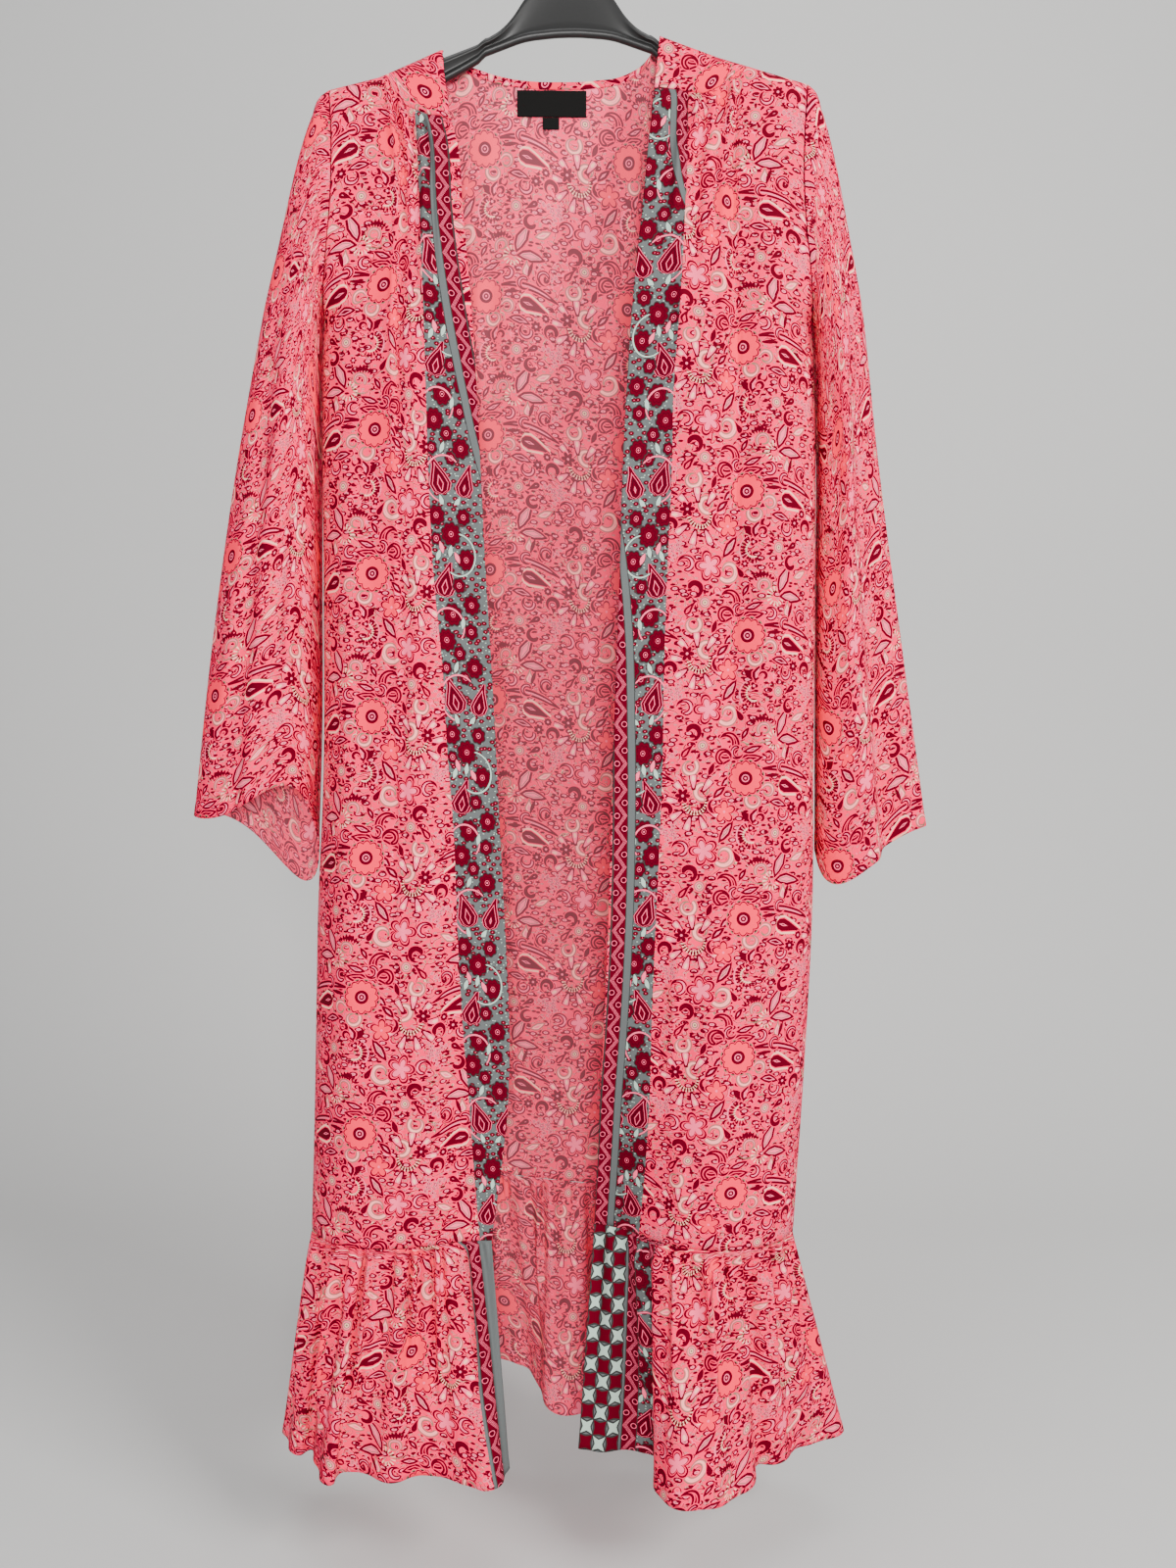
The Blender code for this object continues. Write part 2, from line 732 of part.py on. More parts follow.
def sleeve_point(side, share, turn):
    """Point of a sleeve; turn 0 is its outer fold, a quarter its front, a half its inner fold."""
    rows = SLEEVES[side]
    sign = SIGN[side]
    angle = 2.0 * math.pi * turn
    across = (1.0 - math.cos(angle)) / 2.0
    front = math.sin(angle) > 0.0
    outer_x = float(flow(rows, "share", "outer_x", share))
    outer_z = float(flow(rows, "share", "outer_z", share))
    inner_x = float(flow(rows, "share", "inner_x", share))
    inner_z = float(flow(rows, "share", "inner_z", share))
    x = outer_x + (inner_x - outer_x) * across
    z = outer_z + (inner_z - outer_z) * across
    lens = abs(math.sin(angle)) ** 0.75
    step = float(smooth(SLEEVE_PLEAT_AT - 0.06, SLEEVE_PLEAT_AT + 0.06, across))
    inner_share = across * across * abs(math.sin(angle))
    if front:
        y = -float(flow(rows, "share", "front_depth", share)) * lens
        y -= float(flow(rows, "share", "pleat", share)) * step * lens
        z += float(flow(rows, "share", "front_lift", share)) * inner_share * 1.3
    else:
        y = float(flow(rows, "share", "back_depth", share)) * lens
        z -= float(flow(rows, "share", "back_drop", share)) * inner_share * 1.3
    arm_z = outer_z_at_armhole(side) + (UNDERARM_Z - outer_z_at_armhole(side)) * across
    arm_x = side_x(side, arm_z) + WALL / 2 + SEAM_GAP * (2.5 - 1.5 * armhole_share(arm_z))
    swell = FRONT_SWELL if front else BACK_SWELL
    arm_y = float(fall_depth(sign * arm_x, arm_z, swell) * armhole_share(arm_z))
    arm_y = -arm_y if front else arm_y
    blend = float(smooth(0.0, 0.30, share))
    if share == 0.0:
        blend = 0.0
    start = float(smooth(0.0, 0.05, share))
    x = float(arm_x) + (x - float(arm_x)) * max(blend, start * 0.35)
    y = arm_y + (y - arm_y) * blend
    z = arm_z + (z - arm_z) * max(blend, start * 0.35)
    return sign * x, y, z


def outer_z_at_armhole(side):
    return float(shoulder_z(SIGN[side] * side_x(side, -0.15)))


def sleeve_grid(side):
    """Columns of points round one sleeve, each from the armhole down to the cuff."""
    turns = [i / SLEEVE_SIDES for i in range(SLEEVE_SIDES)]
    return [[sleeve_point(side, share, turn) for share in SLEEVE_STATIONS] for turn in turns]


def hanger_clearance(x):
    """Room between arm and cloth, more beside the neck where the cloth turns down."""
    return HANGER_CLEARANCE + (NECK_CLEARANCE - HANGER_CLEARANCE) * (1.0 - smooth(0.160, 0.175, abs(x)))


def hanger_top(x):
    """Top of the hanger's arm, just under the cloth that it carries."""
    return float(shoulder_z(x)) - WALL / 2 - float(hanger_clearance(x))


def hanger_section(x, top, bottom, top_half):
    """Outline of the hanger across its length, with a round rim along the foot."""
    shoulder = min(top_half, top - bottom - RIM_RADIUS * 2.2)
    half = [
        (0.0, top),
        (top_half * 0.50, top - shoulder * 0.134),
        (top_half * 0.866, top - shoulder * 0.50),
        (top_half, top - shoulder),
        (RIM_RADIUS * 0.75, bottom + RIM_RADIUS * 1.9),
        (RIM_RADIUS, bottom + RIM_RADIUS),
        (RIM_RADIUS * 0.7, bottom + RIM_RADIUS * 0.3),
        (0.0, bottom),
    ]
    ring = half + [(-y, z) for y, z in reversed(half[1:-1])]
    return [(x, y, z) for y, z in ring]


def hanger_rings():
    """Sections of the hanger body from the left arm's end to the right arm's end."""
    rings = {}
    for x, top, bottom, half in zip(*(HANGER_SECTIONS[name] for name in HANGER_SECTIONS)):
        for sign in (-1.0, 1.0):
            tilt = HANGER_TILT * sign * x
            rings[sign * x] = hanger_section(sign * x, top + tilt, bottom + tilt, half)
    for x, height in zip(HANGER_ARM["x"], HANGER_ARM["height"]):
        for sign in (-1.0, 1.0):
            place = sign * x
            if NECK_ENDS[0] < place < NECK_ENDS[1]:
                top = -0.1122 - 0.36 * (x - 0.0760) + HANGER_TILT * place
            else:
                top = hanger_top(place)
            half = float(flow(CREST_RADIUS, "x", "radius", x)) - WALL / 2 - float(hanger_clearance(x))
            rings[place] = hanger_section(place, top, top - height, half)
    for sign in (-1.0, 1.0):
        place = sign * 0.1945
        top = hanger_top(place) - 0.004
        rings[place] = hanger_section(place, top, top - 0.015, 0.007)
    return [rings[place] for place in sorted(rings, reverse=True)]


def hook_path():
    """Centre line of the hook's wire: a short stem, then most of a circle."""
    radius = HOOK_INNER_RADIUS + HOOK_WIRE_RADIUS
    middle_z = -HOOK_INNER_RADIUS
    path = [
        (0.0, 0.0, -0.0518),
        (0.0, 0.0, -0.0490),
        (0.0012, 0.0, -0.0455),
        (0.0048, 0.0, -0.0425),
    ]
    for i in range(21):
        angle = math.radians(-62.0 + 262.0 * i / 20)
        path.append((radius * math.cos(angle), 0.0, middle_z + radius * math.sin(angle)))
    return path


def start_scene():
    for thing in list(bpy.data.objects):
        bpy.data.objects.remove(thing, do_unlink=True)
    collection = bpy.data.collections.new(OBJECT_NAME)
    bpy.context.scene.collection.children.link(collection)
    return collection


def plain_material(name, colour, roughness):
    material = bpy.data.materials.new(name)
    material.use_nodes = True
    shader = material.node_tree.nodes["Principled BSDF"]
    shader.inputs["Base Color"].default_value = (*colour, 1.0)
    shader.inputs["Roughness"].default_value = roughness
    material.diffuse_color = (*colour, 1.0)
    return material


def add_object(collection, name, points, faces, colour, roughness):
    mesh = bpy.data.meshes.new(name)
    mesh.from_pydata([tuple(map(float, point)) for point in points], [], faces)
    mesh.update()
    thing = bpy.data.objects.new(name, mesh)
    thing.data.materials.append(plain_material(name + "_colour", colour, roughness))
    collection.objects.link(thing)
    return thing


def grid_faces(columns, rows, closed):
    """Quads between neighbouring columns, round to the first one when closed."""
    faces = []
    for i in range(columns if closed else columns - 1):
        following = (i + 1) % columns
        for j in range(rows - 1):
            faces.append((i * rows + j, i * rows + j + 1, following * rows + j + 1, following * rows + j))
    return faces


def add_cloth(collection, name, grid, colour, wall=WALL, closed=False, roughness=0.85):
    """Cloth wall of even thickness on a grid of points."""
    points = [point for column in grid for point in column]
    faces = grid_faces(len(grid), len(grid[0]), closed)
    thing = add_object(collection, name, points, faces, colour, roughness)
    solidify = thing.modifiers.new("wall", "SOLIDIFY")
    solidify.thickness = wall
    solidify.offset = 0.0
    return thing


def add_rings(collection, name, rings, colour, roughness):
    """Solid body through a row of closed rings, capped at both ends."""
    sides = len(rings[0])
    points = [point for ring in rings for point in ring]
    faces = []
    for i in range(len(rings) - 1):
        for j in range(sides):
            following = (j + 1) % sides
            faces.append((i * sides + j, i * sides + following,
                          (i + 1) * sides + following, (i + 1) * sides + j))
    faces.append(tuple(reversed(range(sides))))
    faces.append(tuple((len(rings) - 1) * sides + j for j in range(sides)))
    return add_object(collection, name, points, faces, colour, roughness)


def merge_tip(thing):
    """Join the points that fall together at a yoke's tip."""
    weld = thing.modifiers.new("tip", "WELD")
    weld.merge_threshold = 0.0001
    while thing.modifiers.find("tip") > 0:
        index = thing.modifiers.find("tip")
        thing.modifiers.move(index, index - 1)


def wire_rings(path, radius):
    """Rings round a wire whose centre line lies in the hanger's plane."""
    rings = []
    for i, (x, y, z) in enumerate(path):
        before = path[max(i - 1, 0)]
        after = path[min(i + 1, len(path) - 1)]
        dx = after[0] - before[0]
        dz = after[2] - before[2]
        length = math.hypot(dx, dz)
        ring = []
        for j in range(HOOK_SIDES):
            angle = 2.0 * math.pi * j / HOOK_SIDES
            out = radius * math.cos(angle)
            ring.append((x + out * dz / length, y + radius * math.sin(angle), z - out * dx / length))
        rings.append(ring)
    return rings


PINK = (0.80, 0.19, 0.27)
PALE_PINK = (0.84, 0.31, 0.37)
BLACK = (0.012, 0.012, 0.013)
DARK_GREY = (0.035, 0.036, 0.038)
STEEL = (0.62, 0.62, 0.63)

coat = start_scene()
add_cloth(coat, "back", back_grid(), PALE_PINK)
add_cloth(coat, "neck_binding", binding_grid(), PINK, wall=BINDING_WALL)
for side in ("right", "left"):
    add_cloth(coat, "front_" + side, front_grid(side), PINK)
    merge_tip(add_cloth(coat, "yoke_" + side, yoke_grid(side), PINK))
    add_cloth(coat, "sleeve_" + side, sleeve_grid(side), PINK, closed=True)
    add_cloth(coat, "ruffle_front_" + side, front_ruffle_grid(side), PINK)
add_cloth(coat, "ruffle_back", back_ruffle_grid(), PALE_PINK)
label_lift = WALL / 2 + SEAM_GAP + LABEL_WALL / 2
add_cloth(coat, "neck_label", patch_grid(LABEL_X, LABEL_Z, label_lift, 8, 4), BLACK, wall=LABEL_WALL)
add_cloth(coat, "size_tab", patch_grid(TAB_X, TAB_Z, label_lift, 3, 2), BLACK, wall=LABEL_WALL)
add_rings(coat, "hanger_body", hanger_rings(), DARK_GREY, 0.5)
add_rings(coat, "hanger_hook", wire_rings(hook_path(), HOOK_WIRE_RADIUS), STEEL, 0.25)
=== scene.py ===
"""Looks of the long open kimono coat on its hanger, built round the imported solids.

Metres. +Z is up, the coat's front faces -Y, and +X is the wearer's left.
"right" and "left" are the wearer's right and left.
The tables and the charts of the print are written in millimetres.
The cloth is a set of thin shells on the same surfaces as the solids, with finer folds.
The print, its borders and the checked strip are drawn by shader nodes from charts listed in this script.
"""

import math

import bpy
import numpy as np
from mathutils import Matrix, Vector


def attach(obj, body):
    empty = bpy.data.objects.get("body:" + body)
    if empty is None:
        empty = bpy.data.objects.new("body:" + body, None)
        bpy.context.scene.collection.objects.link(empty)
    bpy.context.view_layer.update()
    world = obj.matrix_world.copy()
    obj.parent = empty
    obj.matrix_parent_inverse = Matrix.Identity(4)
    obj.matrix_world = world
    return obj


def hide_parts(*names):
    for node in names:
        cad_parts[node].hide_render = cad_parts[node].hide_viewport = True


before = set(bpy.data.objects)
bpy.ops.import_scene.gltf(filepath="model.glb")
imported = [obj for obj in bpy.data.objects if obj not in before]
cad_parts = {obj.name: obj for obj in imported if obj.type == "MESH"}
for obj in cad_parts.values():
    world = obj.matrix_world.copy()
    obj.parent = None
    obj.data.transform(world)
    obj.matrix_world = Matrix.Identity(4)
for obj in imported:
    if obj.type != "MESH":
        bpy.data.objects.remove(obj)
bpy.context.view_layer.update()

# Cloth sizes
SHELL = 0.0007
HEM_SHELL = 0.0013
SEAM_GAP = 0.0003
BINDING_WALL = 0.0020
RIBBON_WALL = 0.0006
FRONT_HEM = 0.004
CUFF_HEM = 0.010
RUFFLE_HEM = 0.005

# Levels below the hook
UNDERARM_Z = -0.335
ARMHOLE_WIDEST_Z = -0.250
SEAM_Z = -1.125
HEM_Z = -1.322

# How far the body stands away from the hanger's plane
FRONT_SWELL = 0.050
BACK_SWELL = 0.052
SWELL_DROP = 0.30
SIDE_ROUND = 0.070
SIDE_FADE = 0.03

# Rounds in which a column's end settles on a line that depends on its own place
SETTLING_ROUNDS = 12

# Neck
BINDING_HEIGHT = 0.0055
BINDING_TAPER = 0.018
BINDING_GAP = 0.0008
LABEL_X = (-0.0435, 0.0150)
LABEL_Z = (-0.1640, -0.1440)
TAB_X = (-0.0220, -0.0080)
TAB_Z = (-0.1735, -0.1645)
LABEL_LIFT = 0.0016

# Gathers where the fronts meet the yokes
GATHER_COUNT = 5
GATHER_SHARES = (0.15, 0.70)
GATHER_RISE = 0.0032
GATHER_FADE = 0.085
FINE_GATHER_COUNT = 13
FINE_GATHER_RISE = 0.0016
FINE_GATHER_FADE = 0.038

# Strength of the listed creases
CREASE_STRENGTH = 1.7
SLEEVE_CREASE_STRENGTH = 1.35

# Pleats of the ruffles: place as a share from the open edge, width, depth, share of the drop
PLEATS = {
    "right": (
        (0.10, 0.011, 0.0045, 0.7), (0.26, 0.012, 0.0070, 0.8), (0.36, 0.011, 0.0060, 0.6),
        (0.57, 0.013, 0.0095, 0.95), (0.73, 0.013, 0.0100, 0.95), (0.88, 0.012, 0.0070, 0.9),
    ),
    "left": (
        (0.40, 0.011, 0.0055, 0.6), (0.52, 0.011, 0.0065, 0.7), (0.66, 0.012, 0.0055, 0.6),
        (0.78, 0.011, 0.0065, 0.7), (0.90, 0.011, 0.0055, 0.6),
    ),
    "back": (
        (0.20, 0.008, 0.0060, 0.8), (0.34, 0.007, 0.0075, 0.9), (0.46, 0.007, 0.0070, 0.7),
        (0.60, 0.007, 0.0080, 0.9), (0.74, 0.008, 0.0060, 0.7),
    ),
}

# Gathers of the ruffle
RUFFLE_GAP = 0.0005
RUFFLE_GATHERS_FRONT = 9
RUFFLE_GATHERS_BACK = 16
RUFFLE_GATHER_RISE = 0.0036
FINE_RUFFLE_PITCH = 0.0075
FINE_RUFFLE_RISE = 0.0016

# Hanger
CAD_WALL = 0.0015
HANGER_CLEARANCE = 0.0006
NECK_CLEARANCE = 0.0018
HANGER_TILT = 0.021
RIM_RADIUS = 0.0035
HOOK_WIRE_RADIUS = 0.0019
HOOK_INNER_RADIUS = 0.020
HANGER_REACH = 0.192
ARM_START = 0.0760
ARM_TOP = -0.1122
ARM_SLOPE = 0.36

# Studio
FLOOR_Z = -1.42
BACKDROP_Y = 1.5
SWEEP_RADIUS = 0.9
CAMERA_PLACE = (0.0194, -1.0303, -0.640)
CAMERA_TILT = 5.0
CAMERA_ROLL = 0.3
CAMERA_LENS = 27.05
CAMERA_SENSOR = 36.0
LIT_MIDDLE = (0.0, 0.0, -0.70)
WORLD_COLOUR = (0.92, 0.94, 0.96, 1.0)
WORLD_STRENGTH = 0.29


def table(columns, *rows):
    """Rows under named columns, written in millimetres and kept in metres; a share has no unit."""
    values = {name: np.array([row[i] for row in rows], float) for i, name in enumerate(columns.split())}
    return {name: value if name == "share" else value / 1000.0 for name, value in values.items()}


# Top line of the coat over the hanger's arms, across the neck too
SHOULDER_LINE = table(
    "x z",
    (-230, -164), (-198.5, -152), (-157, -141.5), (-130.5, -130), (-105.5, -119), (75.6, -106.8),
    (100, -115.5), (124.6, -124.2), (153.3, -132.5), (198.5, -145.5), (230, -156),
)

# Half thickness of the cloth's fold over the hanger's arm
CREST_RADIUS = table(
    "x radius",
    (0, 7.5), (75, 7.8), (120, 10.2), (160, 13), (200, 15), (240, 15.5),
)

# Top edge of the binding across the back neck
NECK_LINE = table(
    "x z",
    (-105.5, -119), (-81.6, -126.6), (-60, -133), (-39.5, -136.3), (-10.6, -137.2), (22.5, -135.8),
    (47.3, -131.5), (63.9, -121.8), (75.6, -106.8),
)
NECK_ENDS = (-0.1055, 0.0756)

# Armhole line and side seam, as distances from the middle
SIDE_LINE = table(
    "z right left",
    (-140, 197.5, 197.5), (-200, 193.5, 193.5), (-260, 194.5, 194.5), (-300, 199, 199.5),
    (-335, 204.5, 205.5), (-420, 208, 211), (-560, 209, 214), (-730, 211.5, 216), (-840, 217.5, 217.5),
    (-920, 220, 215.5), (-1020, 223, 211.5), (-1125, 227, 206.6),
)

# Open front edges
EDGE_LINE = table(
    "z right left",
    (-107, -105, 75.6), (-142, -102, 72.2), (-180, -96.1, 68.5), (-198, -91.2, 66.5),
    (-255, -85.7, 61.2), (-312, -80.3, 55.3), (-379, -75.2, 50.7), (-468, -70.3, 46.5),
    (-550, -66.2, 44.7), (-640, -60.6, 42), (-755, -54.8, 39), (-870, -48.9, 36.5), (-935, -46.2, 34.4),
    (-1000, -47.6, 31.6), (-1064, -54.1, 29.7), (-1125, -62.2, 27),
)

# How far the open edge is set back from the rest of its front
EDGE_SETBACK = table(
    "z right left",
    (-107, 0, 0), (-600, 2, 2), (-850, 3, 12), (-1000, 6, 28), (-1125, 12, 44),
)
SETBACK_REACH = 0.085

# Seam under each yoke, as its drop below the shoulder line
YOKE_SEAM_RIGHT = table(
    "x drop",
    (90, 66), (96, 63.5), (114.6, 54), (134, 38), (143, 21), (149, 8), (153.5, 2), (157.5, 0), (220, 0),
)
YOKE_SEAM_LEFT = table(
    "x drop",
    (64, 48), (71.5, 47), (87, 44), (111, 39), (125, 28), (136, 15), (144, 6), (149, 1.8), (153.5, 0),
    (220, 0),
)
YOKE_SEAMS = {"right": YOKE_SEAM_RIGHT, "left": YOKE_SEAM_LEFT}

# Long soft folds of the fronts: place at the top and foot, reach, width, rise to the viewer
FOLDS_RIGHT = table(
    "top_x foot_x top_z foot_z width rise",
    (-132, -112, -240, -860, 14, 5), (-158, -168, -200, -780, 16, -4), (-178, -188, -420, -1060, 14, 4),
    (-120, -140, -760, -1125, 18, 4.5), (-92, -88, -700, -1125, 12, -3.5),
)
FOLDS_LEFT = table(
    "top_x foot_x top_z foot_z width rise",
    (112, 104, -200, -640, 13, 4.5), (140, 136, -180, -900, 15, -4.5), (165, 170, -200, -760, 15, 4.5),
    (120, 128, -700, -1125, 20, 5), (190, 182, -560, -1060, 13, -3.5),
)
FOLDS_BACK = table(
    "top_x foot_x top_z foot_z width rise",
    (-150, -165, -260, -1125, 22, 6), (-95, -100, -200, -1050, 20, -5),
    (-30, -42, -300, -1125, 22, 5.5), (28, 10, -240, -1125, 24, -6), (90, 80, -220, -1060, 22, 6),
    (150, 155, -260, -1125, 22, -5),
)
FOLDS = {"right": FOLDS_RIGHT, "left": FOLDS_LEFT, "back": FOLDS_BACK}

# Seam between the back and its ruffle
BACK_SEAM_LINE = table(
    "x z",
    (-230, -1125), (-150, -1118), (-70, -1108), (10, -1117), (80, -1121), (210, -1125),
)

# Plan of the ruffle's hem, from the open edge to the side seam
HEM_RIGHT = table(
    "x y",
    (-46, -62), (-52, -82), (-66, -92), (-82, -82), (-98, -77), (-118, -70), (-138, -80), (-158, -78),
    (-178, -66), (-190, -70), (-196, -84), (-206, -78), (-214, -58), (-224, -40), (-231, -46),
    (-240, -40), (-250, -22), (-255, -10), (-255.5, -3),
)
HEM_LEFT = table(
    "x y",
    (13.9, -35), (30, -40), (48, -36), (68, -40), (82, -43), (88, -56), (82, -74), (80, -92),
    (88, -106), (104, -113), (125, -112), (140, -101), (156, -92), (166, -72), (172, -56), (184, -54),
    (198, -48), (212, -30), (224, -26), (238, -22), (250, -14), (256, -7), (256.5, -3),
)
HEM_BACK = table(
    "x y",
    (-255.5, 3), (-254, 12), (-244, 32), (-226, 44), (-206, 46), (-190, 64), (-170, 78), (-150, 64),
    (-132, 58), (-112, 80), (-90, 92), (-66, 80), (-48, 70), (-34, 72), (-25, 52), (-16, 34), (0, 30),
    (16, 36), (30, 58), (48, 78), (68, 74), (86, 58), (106, 68), (126, 88), (148, 80), (164, 62),
    (182, 60), (202, 66), (220, 50), (236, 40), (250, 24), (256, 11), (256.5, 3),
)
BACK_HEM_DROP = table(
    "x drop",
    (-260, 0), (-120, -6), (-36, -10), (-14, 6), (80, 4), (260, 0),
)

# Sleeves, a row per station from the armhole down to the cuff
SLEEVE_RIGHT = table(
    "share outer_x outer_z inner_x inner_z front_depth back_depth front_lift back_drop pleat",
    (0, 198.5, -152, 206, -335, 36, 36, 0, 0, 0), (0.05, 219, -166, 210, -360, 34, 34, 0, 0, 0),
    (0.25, 249, -303.5, 211.5, -444, 33, 30, 4, 4, 0), (0.5, 280, -455, 212.5, -556, 33, 28, 12, 14, 3),
    (0.75, 304.5, -606, 214, -664, 34, 28, 30, 34, 6), (1, 324, -758, 219, -774, 36, 30, 62, 74, 8),
)
SLEEVE_LEFT = table(
    "share outer_x outer_z inner_x inner_z front_depth back_depth front_lift back_drop pleat",
    (0, 198.5, -145.5, 206.8, -335, 36, 36, 0, 0, 0), (0.05, 215, -159, 212, -360, 34, 34, 0, 0, 0),
    (0.25, 243.5, -300, 215, -444, 30, 30, -4, -4, 2),
    (0.5, 266, -455, 216.5, -556, 20, 28, -14, -10, 8),
    (0.75, 291, -610, 218, -670, 12, 28, -28, -18, 18),
    (1, 316.5, -765, 220.5, -790, 10, 30, -40, -24, 26),
)
SLEEVES = {"right": SLEEVE_RIGHT, "left": SLEEVE_LEFT}
SLEEVE_PLEAT_AT = 0.46

# Hanger body, a row per section from the middle out to the arm's end
HANGER_SECTIONS = table(
    "x top bottom top_half",
    (0, -52, -107, 5.5), (10, -53, -107.2, 5.5), (20, -59, -108, 5.5), (30, -68.5, -109, 5.5),
    (38, -79, -110.5, 5.5), (46, -90.5, -113, 5.6), (56, -100.5, -116.5, 5.8), (66, -106.5, -120, 6),
)
HANGER_ARM = table(
    "x height",
    (76, 15), (90, 17.5), (106, 19.5), (130, 21), (155, 21.5), (175, 21.5), (188, 21),
)
HOOK_STEM = table("x z", (0, -53), (0, -50), (0.4, -47.5), (1.4, -45.2), (3, -43.4), (5.2, -42.2))
SIGN = {"right": -1.0, "left": 1.0}


def smooth(low, high, value):
    """Ease from 0 at low to 1 at high."""
    share = np.clip((value - low) / (high - low), 0.0, 1.0)
    return share * share * (3.0 - 2.0 * share)


def flow(rows, key, column, place):
    """Value of a column at a place, on a smooth line through the rows."""
    order = np.argsort(rows[key])
    keys = rows[key][order]
    values = rows[column][order]
    slopes = np.gradient(values, keys)
    place = np.clip(place, keys[0], keys[-1])
    i = np.clip(np.searchsorted(keys, place) - 1, 0, len(keys) - 2)
    step = keys[i + 1] - keys[i]
    t = (place - keys[i]) / step
    return (
        (2 * t**3 - 3 * t**2 + 1) * values[i]
        + (t**3 - 2 * t**2 + t) * step * slopes[i]
        + (3 * t**2 - 2 * t**3) * values[i + 1]
        + (t**3 - t**2) * step * slopes[i + 1]
    )


# Finer creases: both ends of each line, its width, its rise to the viewer
CREASES_FRONT_RIGHT = table(
    "start_x start_z end_x end_z width rise",
    (-118, -205, -112, -420, 6, 2.6), (-141, -200, -138, -470, 5.5, -2.2),
    (-150, -190, -155, -560, 6.5, 2.4), (-165, -230, -172, -700, 7, -2.4),
    (-196, -330, -160, -430, 6, 2.2), (-198, -350, -172, -520, 7, -2),
    (-128, -520, -118, -900, 7.5, 2.2), (-150, -600, -158, -1080, 8, -2.4),
    (-190, -640, -196, -1100, 8, 2.4), (-104, -840, -112, -1125, 7, 2.2),
    (-170, -860, -176, -1125, 7, 2.4), (-135, -940, -146, -1125, 6, -2.2),
)
CREASES_FRONT_LEFT = table(
    "start_x start_z end_x end_z width rise",
    (92, -170, 92, -380, 5, 2.4), (108, -180, 102, -300, 4.5, -2.2), (127, -175, 122, -460, 6, 2.6),
    (150, -190, 156, -520, 6, -2.4), (176, -230, 180, -600, 6.5, 2.4), (197, -335, 150, -440, 6.5, 2.4),
    (200, -350, 172, -560, 7, -2.2), (110, -520, 112, -940, 7.5, -2.4), (146, -600, 150, -1060, 8, 2.6),
    (176, -700, 170, -1110, 7.5, -2.2), (94, -860, 98, -1125, 6.5, 2.4),
    (160, -900, 164, -1125, 6.5, 2.2),
)
CREASES_BACK = table(
    "start_x start_z end_x end_z width rise",
    (-55, -150, -70, -420, 8, -2.2), (-10, -175, -14, -360, 7, -1.8), (45, -150, 52, -460, 8, -2.2),
    (-130, -190, -120, -600, 9, 2.4), (130, -180, 122, -560, 9, 2.4), (-196, -350, -110, -500, 9, 2.6),
    (198, -350, 115, -520, 9, 2.6), (-70, -560, -64, -1080, 10, -2.8), (0, -500, 4, -1060, 9, 2.4),
    (60, -640, 50, -1080, 10, 2.8), (-135, -700, -130, -1120, 9, -2.6),
    (120, -720, 124, -1120, 9, -2.6), (175, -600, 180, -1100, 9, 2.4),
    (-185, -560, -190, -1100, 9, 2.4),
)
CREASES_SLEEVE_RIGHT = table(
    "start_x start_z end_x end_z width rise",
    (-208, -190, -262, -640, 8.5, 3.8), (-212, -240, -244, -620, 6, -3), (-216, -320, -232, -700, 6, 3),
    (-232, -300, -290, -740, 7.5, -3.4), (-246, -420, -310, -740, 8, 3),
    (-216, -370, -240, -480, 6, 2.4), (-226, -560, -252, -790, 6, 3),
)
CREASES_SLEEVE_LEFT = table(
    "start_x start_z end_x end_z width rise",
    (206, -180, 250, -600, 8, 3.6), (212, -260, 236, -560, 6, -3), (222, -220, 282, -700, 7, -3.2),
    (216, -360, 238, -470, 6, 2.6), (230, -420, 250, -760, 6.5, 3.4), (246, -500, 300, -760, 7.5, 3),
)
CREASES = {
    "front_right": CREASES_FRONT_RIGHT,
    "front_left": CREASES_FRONT_LEFT,
    "back": CREASES_BACK,
    "sleeve_right": CREASES_SLEEVE_RIGHT,
    "sleeve_left": CREASES_SLEEVE_LEFT,
}

# Where the grey ground of a front's border begins, as distances from the middle
GROUND_LINE = table(
    "z right left",
    (-150, -126.5, 99), (-182, -125, 99), (-232, -122, 97.5), (-277, -119.5, 95.5), (-334, -117, 92.5),
    (-401, -115, 88), (-468, -113, 87), (-550, -109, 84), (-640, -101, 82), (-698, -98, 81.8),
    (-755, -93.8, 80.5), (-860, -90, 77), (-935, -86, 75), (-1000, -81, 74), (-1064, -77, 71),
    (-1125, -72.5, 66.5),
)

# Where the stripe and zigzag of the border begin, as a distance in from the open edge
TRIM_LINE = table(
    "z right left",
    (-140, 27.5, -20), (-300, 27.5, -20), (-400, 16, -16), (-470, 2, -9), (-520, -15, 2),
    (-600, -20, 13), (-680, -20, 18), (-1125, -20, 18.5),
)

# Where they begin near the shoulder, as a distance in from the grey ground's line
TOP_TRIM_LINE = table(
    "z right left",
    (-140, -20, 18), (-205, -20, 16.5), (-240, -20, 7), (-270, -20, -10), (-300, -20, -20),
    (-1125, -20, -20),
)

# A place on each piece where the middle of a ring flower falls
PRINT_PLACES = {
    "front_right": (-0.160, -0.551),
    "front_left": (0.1485, -0.483),
    "back": (-0.0720, -0.185),
    "yoke_right": (-0.118, -0.160),
    "yoke_left": (0.118, -0.150),
    "sleeve_right": (-0.262, -0.420),
    "sleeve_left": (0.256, -0.400),
    "ruffle_front_right": (-0.130, -1.215),
    "ruffle_front_left": (0.140, -1.230),
    "ruffle_back": (-0.060, -1.240),
    "binding": (-0.020, -0.138),
}


def shoulder_z(x):
    """Height of the coat's top line, straight between its rows."""
    return np.interp(x, SHOULDER_LINE["x"], SHOULDER_LINE["z"])


def side_x(side, z):
    return flow(SIDE_LINE, "z", side, z)


